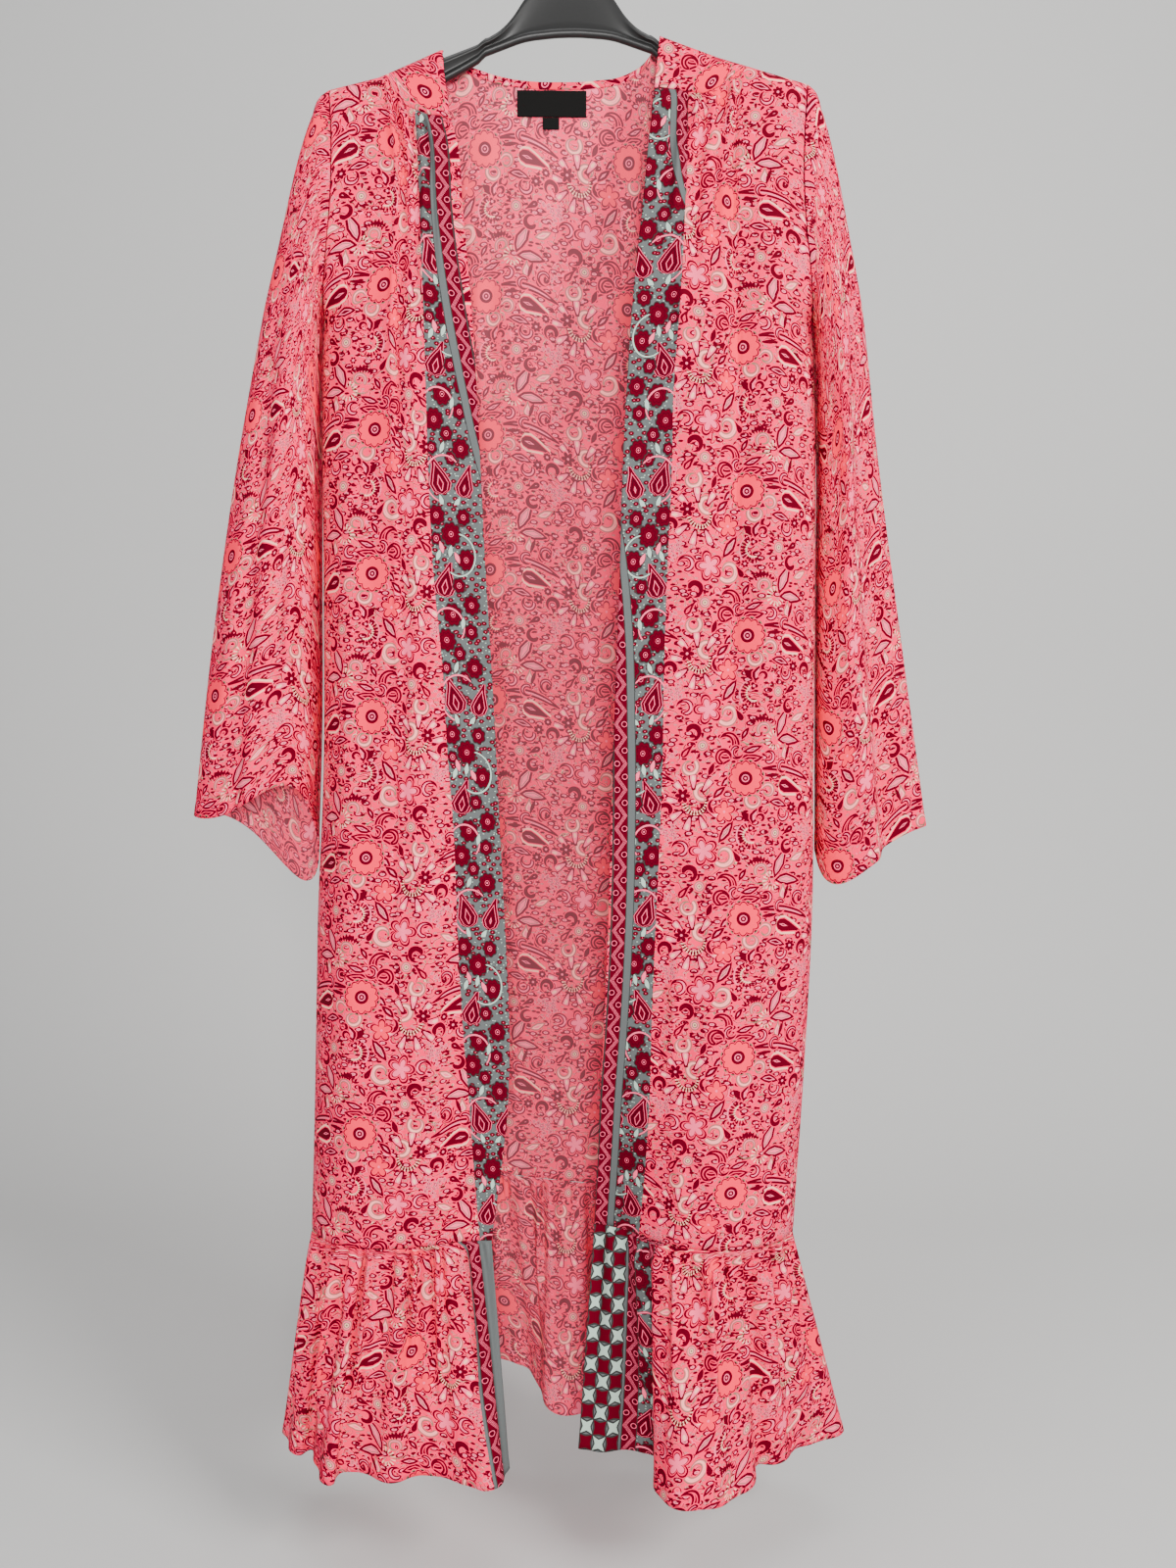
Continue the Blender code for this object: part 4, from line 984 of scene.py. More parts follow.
    def hook(self, x, y, radius, width, turn, spiral, shape, bands, flip=1.0, teeth=0, bite=0.20):
        """Curl round a middle; its shape runs once round, spiral opens it up, teeth bite its edge."""
        local = self.place(x, y, radius * 1.2 + width / 2.0)
        if local is None:
            return
        across, up = self.turned(local, turn, flip)
        angle = self.math("ARCTAN2", up, across)
        once = self.math("MULTIPLY_ADD", angle, 0.5 / math.pi, 0.5)
        middle = self.math("MULTIPLY_ADD", once, spiral * radius, (1.0 - spiral / 2.0) * radius)
        off = self.math("ABSOLUTE", self.math("SUBTRACT", self.vector("LENGTH", local), middle))
        depth = self.math("SUBTRACT", self.half_width(shape, once, width), off)
        if teeth:
            wave = self.math("SINE", self.math("MULTIPLY", angle, float(teeth)))
            depth = self.math("MULTIPLY_ADD", wave, bite * width, depth)
        self.lay(depth, bands)

    def rosette(self, x, y, radius, petals, cut, turn, bands, centre=None):
        """Flower or lobed leaf: petals cut into its radius, bands from its edge, rings from its centre."""
        local = self.place(x, y, radius + 2.0)
        if local is None:
            return
        across, up = self.turned(local, turn)
        angle = self.math("ARCTAN2", up, across)
        from_middle = self.vector("LENGTH", local)
        wave = self.math("ABSOLUTE", self.math("COSINE", self.math("MULTIPLY", angle, petals / 2.0)))
        base = self.math("SUBTRACT", (1.0 - cut) * radius, from_middle)
        self.lay(self.math("MULTIPLY_ADD", wave, cut * radius, base), bands)
        if centre is not None:
            self.lay(from_middle, centre)

    def rays(self, x, y, radius, count, turn, shape, bands, centre=None):
        """Ring of drops or dashes round a middle, with rings at the centre."""
        local = self.place(x, y, radius + 2.0)
        if local is None:
            return
        across, up = self.turned(local, turn)
        angle = self.math("ARCTAN2", up, across)
        from_middle = self.vector("LENGTH", local)
        wave = self.math("COSINE", self.math("MULTIPLY", angle, float(count)))
        share = self.math("MULTIPLY", from_middle, 1.0 / radius)
        half = self.math("MULTIPLY", self.curve(shape, share), 10.0)
        self.lay(self.math("MULTIPLY", wave, half), bands)
        if centre is not None:
            self.lay(from_middle, centre)


BANDED = {}


def banded(bands):
    """Small group that gives the colour and cover of bands, from -3 to 13 mm deep."""
    key = tuple(bands)
    if key not in BANDED:
        tree = bpy.data.node_groups.new("bands", "ShaderNodeTree")
        tree.interface.new_socket("Depth", in_out="INPUT", socket_type="NodeSocketFloat")
        tree.interface.new_socket("Color", in_out="OUTPUT", socket_type="NodeSocketColor")
        tree.interface.new_socket("Cover", in_out="OUTPUT", socket_type="NodeSocketFloat")
        given = tree.nodes.new("NodeGroupInput")
        output = tree.nodes.new("NodeGroupOutput")
        chart = Chart(tree)
        place = chart.math("MULTIPLY_ADD", given.outputs["Depth"], 1.0 / 16.0, 3.0 / 16.0)
        stops = [(0.0, CLEAR)] if bands[0][0] > -3.0 else []
        stops += [((depth + 3.0) / 16.0, colour) for depth, colour in bands]
        colour, cover = chart.ramp(place, stops)
        tree.links.new(colour, output.inputs["Color"])
        tree.links.new(cover, output.inputs["Cover"])
        BANDED[key] = tree
    return BANDED[key]


def outlined(line, line_colour, *fills, halo=GROUND):
    """Bands of a motif: clear ground round it, an outline of a thickness, then its fills."""
    return [(-HALO, halo), (0.0, line_colour), (line, fills[0])] + list(fills[1:])


def scatter(chart, x, y, turn, stretch, scale, bands):
    """Small ovals set at uneven places, all leaning one way."""
    leaning = chart.node("Mapping", given={
        "Vector": chart.flat, "Location": (x, y, 0.0), "Rotation": (0.0, 0.0, math.radians(turn)),
        "Scale": (1.0, stretch, 1.0),
    })
    given = {"Vector": leaning.outputs[0], "Scale": scale, "Randomness": 0.9}
    cells = chart.node("TexVoronoi", voronoi_dimensions="2D", given=given)
    chart.lay(chart.math("MULTIPLY", cells.outputs["Distance"], 10.0), bands)


def hairlines(chart, scale, bands):
    """Thin wandering lines."""
    given = {"Vector": chart.flat, "Scale": scale, "Detail": 0.0, "Distortion": 1.2}
    noise = chart.node("TexNoise", given=given)
    chart.lay(chart.math("MULTIPLY", noise.outputs["Fac"], 10.0), bands)


def bands_of_print():
    """Ways of filling a motif of the print, as depths in from its edge and colours."""
    line = 2.4
    return {
        "pink": outlined(line, CRIMSON, BLUSH, (3.6, GROUND)),
        "sage": outlined(2.1, CRIMSON, BLUSH, (2.9, SAGE), (3.6, BLUSH)),
        "double": outlined(1.8, CRIMSON, GROUND, (2.7, CRIMSON)),
        "empty": outlined(line, CRIMSON, GROUND),
        "solid": outlined(1.0, CRIMSON, CRIMSON),
        "curl": outlined(1.3, CRIMSON, BLUSH),
        "split": outlined(1.8, CRIMSON, BLUSH, (2.6, CRIMSON)),
        "pale": outlined(0.9, SAGE, BLUSH, (1.5, CREAM), (2.2, BLUSH)),
        "star": outlined(1.4, CRIMSON, CORAL),
        "ivy": outlined(1.7, CRIMSON, GROUND, (3.2, CRIMSON), (4.2, BLUSH)),
        "feather": [(-0.8, GROUND), (0.0, BLUSH), (0.8, SAGE), (1.5, BLUSH), (2.2, CRIMSON), (3.0, BLUSH)],
        "cream": [(0.0, CREAM)],
        "blush": [(0.0, BLUSH)],
        "thin": [(0.0, SAGE)],
        "red": [(0.0, CRIMSON)],
        "bulb": [(-2.8, CREAM), (-1.0, GROUND), (0.0, CRIMSON), (4.2, BLUSH), (4.9, CRIMSON)],
    }


def draw_print(chart):
    """The paisley print, one repeat of 126 by 118 mm round the middle of its ring flower."""
    bands = bands_of_print()
    hairlines(chart, 0.085, [
        (4.20, BLUSH), (4.44, CLEAR), (4.81, CRIMSON), (5.17, CLEAR), (5.50, SAGE), (5.64, CREAM),
        (5.72, CLEAR),
    ])
    scatter(chart, 0.0, 0.0, 35.0, 2.0, 0.115, [(-1.0, SAGE), (0.8, BLUSH), (1.5, SAGE), (2.0, CLEAR)])
    scatter(chart, 7.0, 3.0, -40.0, 1.8, 0.068, [
        (-1.0, SAGE), (0.5, BLUSH), (1.5, CRIMSON), (2.6, GROUND), (3.0, CLEAR),
    ])
    scatter(chart, 2.0, 9.0, 20.0, 2.2, 0.090, [(-1.0, CRIMSON), (1.9, CLEAR)])

    # Feathers and thin rings: x y radius width turn spiral shape bands flip teeth bite
    for x, y, radius, width, turn, spiral, shape, fill, *rest in (
        (52, -52, 9, 6, 40, 0.35, CRESCENT, "feather", 1, 14),
        (-54, -44, 8, 6, 200, 0.35, CRESCENT, "feather", 1, 14),
        (2, -104, 7, 6, 120, 0.35, CRESCENT, "feather", -1, 14),
        (56, -92, 9, 6, 250, 0.35, CRESCENT, "feather", 1, 14),
        (12, -79, 9.5, 1.3, -60, 0.15, CRESCENT, "thin", 1, 30, 0.25),
        (14.5, -77, 4.4, 3, 60, 0.55, CURL, "pale"),
        (5.5, -47.5, 6.3, 1.6, 190, 0.1, ARC, "cream"),
        (5.5, -47.5, 9.2, 4.4, 195, 0.1, CRESCENT, "red", 1, 22, 0.45),
        (5.5, -47.5, 12.2, 1.6, 200, 0.2, CRESCENT, "blush"),
        (-43, -20, 9.5, 3.4, 270, 0, ARC, "cream"),
        (-43, -20, 9.5, 2.4, 270, 0, ARC, "red", 1, 24, 0.55),
        (13, -81, 13, 5.4, 95, 0.1, BROW, "red", 1, 30),
        (-17.5, -64.5, 6.6, 5.4, 200, 0.75, CURL, "pale", -1),
        (-37, -11, 5.6, 5, 120, 0.6, CURL, "pale"),
        (7, -18.5, 5.2, 4.2, 120, 0.45, CURL, "pale", -1),
        (19, -10, 4.6, 3.6, 0, 0.50, CURL, "pale"),
        (-49, 9, 5.6, 4.6, 250, 0.35, CURL, "pale"),
    ):
        chart.hook(x, y, radius, width, turn, spiral, shape, bands[fill], *rest)

    # Fan of drops round its dotted arc
    chart.rays(-44.0, -21.0, 24.0, 9, 15.0, FAN, [(0.6, CRIMSON), (4.2, BLUSH), (8.2, CREAM)])
    # Pale rays at the foot of the sprig
    chart.rays(24.0, -86.0, 8.5, 14, 0.0, FAN, [(3.6, CREAM)])

    # Leaves, drops and stems: x y length width turn bend shape bands
    for x, y, length, width, turn, bend, shape, fill in (
        (30, -5, 27, 11, -12, -0.30, DROP, "bulb"), (13, 8, 50, 7, 8, -2.7, STEM, "sage"),
        (15, 2.5, 16, 3.6, 0, 0.2, LEAF, "red"), (20, -19.5, 20, 8, 0, -0.6, LEAF, "split"),
        (6, -37, 13, 6.6, 128, 0.2, LEAF, "red"),
        (6.5, -38, 14.5, 8.6, 80, -0.3, LEAF, "pink"),
        (-22.5, -54, 23, 8.6, 52, 0.15, LEAF, "sage"),
        (-33, 7, 24, 7, 33, -0.30, STEM, "double"),
        (-9, 12, 24, 9.6, 24, -0.45, LEAF, "double"),
        (-3, 22, 17, 6.4, 8, 0.5, LEAF, "split"),
        (27, -84, 27, 11.5, 72, -0.35, LEAF, "sage"),
        (27, -86, 26, 11, 6, -0.45, LEAF, "sage"), (36, -102, 13, 8, 88, 0, DROP, "pale"),
        (42, -90, 15, 3.6, 248, 0.2, LEAF, "red"), (31, -101, 9, 3.6, -25, 0, LEAF, "red"),
        (43, -70, 16, 7, 12, 0.5, LEAF, "pale"),
        (-21.5, -8, 14, 6.6, 42, 0.3, LEAF, "sage"),
        (-28, -17, 15, 6.4, 50, -0.3, LEAF, "sage"), (-33, 2, 12, 5, 60, 0.3, LEAF, "pink"),
        (-56, -101, 15, 6, 60, -0.5, DROP, "double"),
        (48, -110, 14, 5.6, 100, 0.4, DROP, "split"),
        (52, 12, 13, 5.4, 60, 0.4, DROP, "pink"), (-4, -70, 12, 5, 115, 0.3, DROP, "empty"),
        (-4, -86, 12, 5, 70, -0.4, LEAF, "split"),
        (46, -42, 13, 5.6, 200, 0.4, DROP, "pink"),
    ):
        chart.leaf(x, y, length, width, turn, bend, shape, bands[fill])

    # Double hooks, curls and brackets: x y radius width turn spiral bands flip
    for x, y, radius, width, turn, spiral, fill, flip in (
        (-18, -89, 8.6, 7.2, 0, -0.50, "double", 1), (-26, -23, 4.6, 3.8, 60, 0.40, "empty", -1),
        (19, 18, 4.4, 4.4, 0, 0.10, "curl", 1), (52, 16, 5, 3.6, 140, 0.65, "curl", 1),
        (15.5, -26, 3.2, 2.8, 240, 0.40, "solid", 1), (13, -33, 2.8, 2.4, 60, 0.40, "solid", 1),
        (-55, -60, 5.6, 4.6, 30, 0.65, "curl", 1), (-48, -80, 5.4, 4.8, 220, 0.55, "empty", -1),
        (58, -28, 5, 4.2, 100, 0.50, "empty", 1), (-8, -96, 4.6, 3.8, 200, 0.50, "curl", 1),
        (40, -58, 4.8, 4, 20, 0.50, "empty", -1), (-20, 17, 5.6, 5, 310, 0.55, "double", -1),
        (34, 10, 4.4, 3.8, 170, 0.45, "curl", 1), (36, -30, 5, 4.4, 80, 0.50, "curl", -1),
    ):
        chart.hook(x, y, radius, width, turn, spiral, HOOK, bands[fill], flip)

    # Sun with dashes round it, and another across the repeat
    for x, y in ((27.0, -46.0), (-39.0, -91.0)):
        chart.rays(x, y, 11.0, 9, 12.0, RAY, [(4.5, CRIMSON)], (
            (-1.0, SAGE), (1.0, CREAM), (1.7, SAGE), (2.6, BLUSH), (3.6, SAGE), (4.4, GROUND), (5.4, CLEAR),
        ))
    # Star flower, ivy leaf, daisies: x y radius petals depth turn bands
    for x, y, radius, petals, depth, turn, fill in (
        (-17.5, -28, 10, 5, 0.50, 20, "star"), (-35, -61, 13, 5, 0.45, 35, "ivy"),
        (-54, -15, 6.4, 6, 0.50, 0, "solid"), (44.5, -25, 4.8, 7, 0.35, 0, "solid"),
        (53, -17, 3.6, 8, 0.20, 0, "solid"), (5.5, -41.5, 3.4, 3, 0.60, 0, "solid"),
        (-2, -59, 3.4, 6, 0.40, 10, "solid"), (20, -61, 3, 6, 0.40, 0, "solid"),
    ):
        chart.rosette(x, y, radius, petals, depth, turn, bands[fill], ((-1.0, BLUSH), (1.1, CLEAR)))
    # Ring flower on its dark notches
    chart.rosette(0.0, 0.0, 16.0, 12, 0.14, 15.0, outlined(0.9, SAGE, WINE))
    chart.rosette(0.0, 0.0, 14.8, 12, 0.16, 0.0, outlined(1.0, CRIMSON, CORAL), (
        (-1.0, BLUSH), (0.9, CRIMSON), (2.3, BLUSH), (3.2, CRIMSON), (5.8, CLEAR),
    ))


def draw_border_flowers(chart):
    """Dark flowers, paisleys and small pale leaves on grey, one repeat 180 mm high."""
    flower = outlined(0.8, WINE, CRIMSON, (2.8, WINE), (3.5, CRIMSON), halo=GRAPHITE)
    heart = ((-1.0, BLUSH), (0.8, WINE), (1.9, BLUSH), (2.3, CLEAR))
    scatter(chart, 0.0, 0.0, 50.0, 2.4, 0.13, [(-1.0, AQUA), (1.3, GRAPHITE), (2.0, CLEAR)])
    scatter(chart, 3.0, 5.0, -35.0, 1.6, 0.11, [
        (-1.0, BLUSH), (0.6, CRIMSON), (2.6, GRAPHITE), (3.2, CLEAR),
    ])
    # Scalloped paisleys with pale vines: x y length width turn bend
    scroll = [
        (-1.2, GRAPHITE), (-0.6, BLUSH), (0.0, CRIMSON), (2.2, BLUSH), (2.8, CRIMSON), (4.4, WINE),
        (5.4, CRIMSON), (7.2, BLUSH), (8.0, CRIMSON),
    ]
    for x, y, length, width, turn, bend in (
        (13, 98, 32, 21, 96, 0.30), (9, 14, 30, 21, 84, -0.30), (34, 96, 28, 17, 84, -0.30),
    ):
        chart.leaf(x, y, length, width, turn, bend, DROP, scroll)
    # Dark flowers
    for x, y, radius, petals in (
        (7, 159, 9.6, 9), (19, 148, 6.4, 6), (6, 81, 8.6, 8), (20, 66, 10, 9), (16, 0, 9.6, 8),
        (5, 62, 5.2, 6), (25, 24, 6.4, 6), (23, 128, 6, 7), (34, 45, 9, 8), (33, 80, 7, 7),
        (33, 136, 8.8, 8), (33, 166, 6.8, 6), (4, 136, 5.4, 6), (36, 8, 8.4, 8),
    ):
        chart.rosette(x, y, radius, petals, 0.18, 10.0 * x, flower, heart)
    # Pale vines and small leaves
    for x, y, radius, turn, colour in (
        (16, 112, 19, 150, BLUSH), (26, 48, 17, -20, AQUA), (12, 170, 15, 60, BLUSH),
    ):
        chart.hook(x, y, radius, 1.5, turn, 0.25, ARC, [(-0.4, GRAPHITE), (0.0, colour)])
    for x, y, turn, colour in (
        (4, 44, 60, AQUA), (11, 50, 100, BLUSH), (17, 47, 70, AQUA), (24, 88, 45, AQUA),
        (24, 168, 70, AQUA), (12, 132, 60, AQUA), (27, 42, 110, BLUSH), (13, 88, 100, AQUA),
    ):
        chart.leaf(x, y, 10.5, 4.6, turn, 0.2, LEAF, [(-0.6, GRAPHITE), (0.0, colour)])


def draw_stripes(chart, past):
    """Grey ground with thin darker and paler threads, in millimetres past the border's start."""
    fine = chart.math("SINE", chart.math("MULTIPLY", past, 5.2))
    return chart.mixed(chart.math("MULTIPLY_ADD", fine, 0.10, 0.12), SLATE, GRAPHITE)


def draw_zigzag(chart, across, up):
    """Crimson band with a double pink zigzag and half rounds; across runs from 0 to 1."""
    climb = chart.math("PINGPONG", up, 11.0)
    line_place = chart.math("MULTIPLY_ADD", climb, 0.70 / 11.0, 0.15)
    off = chart.math("ABSOLUTE", chart.math("SUBTRACT", across, line_place))
    half = chart.math("MULTIPLY", chart.math("SUBTRACT", across, 0.5), 11.0)
    point = chart.node("CombineXYZ", half, climb).outputs[0]
    upper = chart.vector("DISTANCE", point, (3.2, 0.0, 0.0))
    lower = chart.vector("DISTANCE", point, (-3.2, 11.0, 0.0))
    chart.colour = chart.mixed(0.0, CRIMSON, CRIMSON)
    chart.lay(chart.math("MINIMUM", upper, lower), [
        (-1.0, WINE), (1.0, CRIMSON), (1.9, BLUSH), (2.4, WINE), (3.2, CLEAR),
    ])
    chart.lay(chart.math("MULTIPLY", off, 10.0), [
        (-1.0, WINE), (0.30, BLUSH), (0.62, WINE), (1.15, BLUSH), (1.42, WINE), (1.70, CLEAR),
    ])
    return chart.colour


def draw_checks(chart, across, up):
    """Crimson and pale concave squares in turn, in cells of one check pitch."""
    pitch = 12.0
    rows = 13.6
    column = chart.math("DIVIDE", across, pitch)
    row = chart.math("DIVIDE", up, rows)
    turn = chart.math("ADD", chart.math("FLOOR", column), chart.math("FLOOR", row))
    pale = chart.math("PINGPONG", turn, 1.0)
    x = chart.math("ABSOLUTE", chart.math("SUBTRACT", chart.math("FRACT", column), 0.5))
    y = chart.math("ABSOLUTE", chart.math("SUBTRACT", chart.math("FRACT", row), 0.5))
    far = chart.math("MAXIMUM", x, y)
    near = chart.math("MINIMUM", x, y)
    slope = chart.math("MULTIPLY_ADD", pale, 0.20, 0.22)
    size = chart.math("MULTIPLY_ADD", pale, -0.10, 0.36)
    inside = chart.math("SUBTRACT", chart.math("MULTIPLY_ADD", near, slope, size), far)
    chart.colour = chart.mixed(pale, CRIMSON, AQUA)
    chart.lay(chart.math("MULTIPLY", inside, 10.0), [(-3.0, SLATE), (-1.3, GRAPHITE), (-0.1, CLEAR)])
    return chart.colour


def new_group(name):
    """Node group that gives a colour, and the slot for it."""
    tree = bpy.data.node_groups.new(name, "ShaderNodeTree")
    tree.interface.new_socket("Color", in_out="OUTPUT", socket_type="NodeSocketColor")
    return tree, tree.nodes.new("NodeGroupOutput").inputs["Color"]


def flat_place(tree, map_name):
    """Place on the flat cloth in millimetres, from a named UV map."""
    chart = Chart(tree)
    return chart.vector("MULTIPLY", chart.node("UVMap", uv_map=map_name).outputs[0], (1000.0, 1000.0, 0.0))


def print_group(middle):
    """Print in one quarter of its repeat, so that a renderer works out only what is near."""
    tree, slot = new_group("paisley_print")
    base = tree.nodes.new("ShaderNodeRGB")
    base.outputs[0].default_value = (*GROUND, 1.0)
    window = (REPEAT[0] / 2.0, REPEAT[1] / 2.0)
    chart = Chart(tree, flat_place(tree, "print"), base.outputs[0], REPEAT, middle, window)
    draw_print(chart)
    tree.links.new(chart.colour, slot)
    return tree


def border_group(name, zones, start=0.0):
    """Border of a piece: what lies in each zone, in millimetres, from one of its maps.

    The flowers' chart begins at the start.
    """
    tree, slot = new_group(name)
    base = Chart(tree)
    ground = base.vector("SUBTRACT", flat_place(tree, "border"), (start, 0.0, 0.0))
    chart = Chart(tree, ground, None, BORDER_REPEAT)
    past, up = chart.parts(ground)
    grey = draw_stripes(chart, past)
    edge_x, edge_y = chart.parts(flat_place(tree, "edge"))
    total = None
    for kind, start, width, axis in zones:
        place = {"ground": past, "trim": edge_x, "open": edge_y}[axis]
        if kind == "flowers":
            chart.colour = grey
            draw_border_flowers(chart)
            colour = chart.colour
        elif kind == "grey":
            colour = grey
        elif kind == "line":
            colour = chart.mixed(0.0, GRAPHITE, GRAPHITE)
        elif kind == "zigzag":
            across = chart.math("DIVIDE", chart.math("SUBTRACT", place, start), width)
            colour = draw_zigzag(chart, across, up)
        elif kind == "checks":
            colour = draw_checks(chart, place, up)
        if total is None:
            total = colour
        else:
            total = chart.mixed(chart.math("GREATER_THAN", place, start), total, colour)
    tree.links.new(total, slot)
    return tree


class Cloth(Chart):
    """Printed crepe: a colour with a fine uneven weave, light sheen and soft wrinkles."""

    def __init__(self, tree):
        super().__init__(tree, flat_place(tree, "print"))
        grain = self.noise(1.1)
        wave = self.noise(0.045)
        self.value = self.math("MULTIPLY_ADD", grain, 0.24, 0.88)
        soft = self.node("Bump", given={"Height": wave, "Strength": 0.35, "Distance": 0.0016}).outputs[0]
        given = {"Height": grain, "Strength": 0.25, "Distance": 0.0003, "Normal": soft}
        self.normal = self.node("Bump", given=given).outputs[0]

    def noise(self, scale):
        given = {"Vector": self.flat, "Scale": scale, "Detail": 2.0}
        return self.node("TexNoise", given=given).outputs["Fac"]

    def shader(self, group, fade=0.0):
        """Cloth shader that takes its colour from a node group."""
        colour = self.node("Group", node_tree=group).outputs[0]
        if fade > 0.0:
            colour = self.mixed(fade, colour, FADED)
        tint = self.node("HueSaturation", given={"Value": self.value, "Color": colour})
        return self.node("BsdfPrincipled", given={
            "Base Color": tint.outputs[0], "Normal": self.normal, "Roughness": 0.78, "Sheen Weight": 0.01,
            "Sheen Roughness": 0.45, "Specular IOR Level": 0.03,
        }).outputs[0]

    def chosen(self, share, first, second):
        """First shader where the share is 0 and second where it is 1."""
        return self.node("MixShader", share, first, second).outputs[0]

    def printed(self, fade):
        """The whole print, from the groups of its four quarters."""
        low = (-REPEAT[0] / 2.0, -REPEAT[1] / 2.0, 0.0)
        high = (REPEAT[0] / 2.0, REPEAT[1] / 2.0, 0.0)
        across, up = self.parts(self.vector("WRAP", self.flat, high, low))
        right = self.math("GREATER_THAN", across, 0.0)
        halves = []
        for row in (-1, 1):
            quarters = [self.shader(PRINT[column, row], fade) for column in (-1, 1)]
            halves.append(self.chosen(right, *quarters))
        return self.chosen(self.math("GREATER_THAN", up, 0.0), *halves)


def cloth_material(name, fade=0.0, border=None, zone=None):
    """Printed cloth; where the zone is 1 it shows the border instead of the print."""
    material = bpy.data.materials.new(name)
    material.use_nodes = True
    tree = material.node_tree
    tree.nodes.clear()
    output = tree.nodes.new("ShaderNodeOutputMaterial")
    cloth = Cloth(tree)
    surface = cloth.printed(fade)
    if border is not None:
        surface = cloth.chosen(zone(cloth), surface, cloth.shader(border))
    tree.links.new(surface, output.inputs["Surface"])
    return material


def front_zone(chart):
    """1 past the grey ground's line, as far as the end of the zigzag."""
    past, _ = chart.parts(flat_place(chart.tree, "border"))
    trim, _ = chart.parts(flat_place(chart.tree, "edge"))
    inside = chart.math("LESS_THAN", trim, FRONT_BORDER_END)
    return chart.math("MULTIPLY", chart.math("GREATER_THAN", past, 0.0), inside)


def ruffle_zone(width):
    """1 as far in from the ruffle's open edge as its border goes."""
    def zone(chart):
        across, _ = chart.parts(flat_place(chart.tree, "border"))
        return chart.math("LESS_THAN", across, width)
    return zone


def simple_material(name, colour, rough, bump_scale, bump_depth, spread=0.12, metallic=0.0, specular=0.5):
    """Plain moulded, drawn or painted surface with slight unevenness in colour and relief."""
    material = bpy.data.materials.new(name)
    material.use_nodes = True
    chart = Chart(material.node_tree)
    place = chart.node("TexCoord").outputs["Object"]
    noise = chart.node("TexNoise", given={"Vector": place, "Scale": bump_scale, "Detail": 3.0})
    uneven = noise.outputs["Fac"]
    value = chart.math("MULTIPLY_ADD", uneven, spread * 2.0, 1.0 - spread)
    tint = chart.node("HueSaturation", given={"Value": value, "Color": (*colour, 1.0)})
    bump = chart.node("Bump", given={"Height": uneven, "Strength": 0.3, "Distance": bump_depth})
    shader = chart.tree.nodes["Principled BSDF"]
    given = {
        "Base Color": tint.outputs[0], "Roughness": rough, "Metallic": metallic,
        "Specular IOR Level": specular, "Normal": bump.outputs[0],
    }
    chart.fill((shader.inputs[name], value) for name, value in given.items())
    return material


# Zones of the borders: what is drawn, where it starts and how wide it is in millimetres, and from where
FRONT_ZONES = [
    ("flowers", 0.0, 0.0, "ground"),
    ("line", 0.0, 0.0, "trim"),
    ("grey", 0.7, 0.0, "trim"),
    ("line", 6.3, 0.0, "trim"),
    ("zigzag", 7.0, 11.0, "trim"),
    ("line", 18.0, 0.0, "trim"),
]
RUFFLE_ZONES_LEFT = [
    ("checks", 0.0, 0.0, "open"),
    ("grey", 36.0, 0.0, "open"),
    ("line", 37.8, 0.0, "open"),
    ("zigzag", 38.6, 13.0, "open"),
    ("line", 51.6, 0.0, "open"),
    ("flowers", 52.4, 0.0, "open"),
    ("line", 68.6, 0.0, "open"),
    ("zigzag", 69.4, 6.0, "open"),
    ("line", 75.4, 0.0, "open"),
]
RUFFLE_ZONES_RIGHT = [
    ("grey", 0.0, 0.0, "open"),
    ("line", 12.6, 0.0, "open"),
    ("zigzag", 13.2, 13.4, "open"),
    ("line", 26.6, 0.0, "open"),
    ("grey", 27.4, 0.0, "open"),
]

PRINT = {}
for column in (-1, 1):
    for row in (-1, 1):
        PRINT[column, row] = print_group((column * REPEAT[0] / 4.0, row * REPEAT[1] / 4.0))
plain_cloth = cloth_material("printed_crepe")
inside_cloth = cloth_material("printed_crepe_inside", fade=0.09)
front_cloth = cloth_material(
    "printed_crepe_front", border=border_group("front_border", FRONT_ZONES), zone=front_zone,
)
ruffle_cloth = {
    "right": cloth_material(
        "printed_crepe_ruffle_right", border=border_group("ruffle_border_right", RUFFLE_ZONES_RIGHT),
        zone=ruffle_zone(RUFFLE_BORDER_ENDS["right"]),
    ),
    "left": cloth_material(
        "printed_crepe_ruffle_left",
        border=border_group("ruffle_border_left", RUFFLE_ZONES_LEFT, LEFT_RUFFLE_FLOWERS_AT),
        zone=ruffle_zone(RUFFLE_BORDER_ENDS["left"]),
    ),
}
label_ribbon = simple_material(
    "black_ribbon", (0.0035, 0.0032, 0.0030), 0.85, 900.0, 0.0003, 0.25, specular=0.12,
)
hanger_plastic = simple_material(
    "black_plastic", (0.009, 0.009, 0.009), 0.40, 420.0, 0.0001, 0.15, specular=0.35,
)
hook_steel = simple_material("drawn_steel", (0.62, 0.62, 0.63), 0.28, 700.0, 0.00005, 0.06, metallic=1.0)
stage_paper = simple_material("studio_paper", (0.50, 0.50, 0.495), 0.9, 40.0, 0.0002, 0.01)


def add_panel(name, node, grid, materials, reference, edges=None, ground=None,
              flip=False):
    """One cut piece of the coat on its solid's form, with its print, border and edge maps.

    The print hangs straight down the reference column.
    """
    across = lengths_across(grid)
    up = lengths_up(grid)
    level = across - across[reference][None, :]
    maps = {"print": print_map(node, grid, level, up)}
    hem = None
    if ground is not None:
        maps["border"], maps["edge"] = ground(grid, across, up)
    if edges is not None:
        hem = edges(across, up)
    piece = add_shell(name, grid, maps, SHELL, materials, hem, flip)
    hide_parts(node)
    return piece


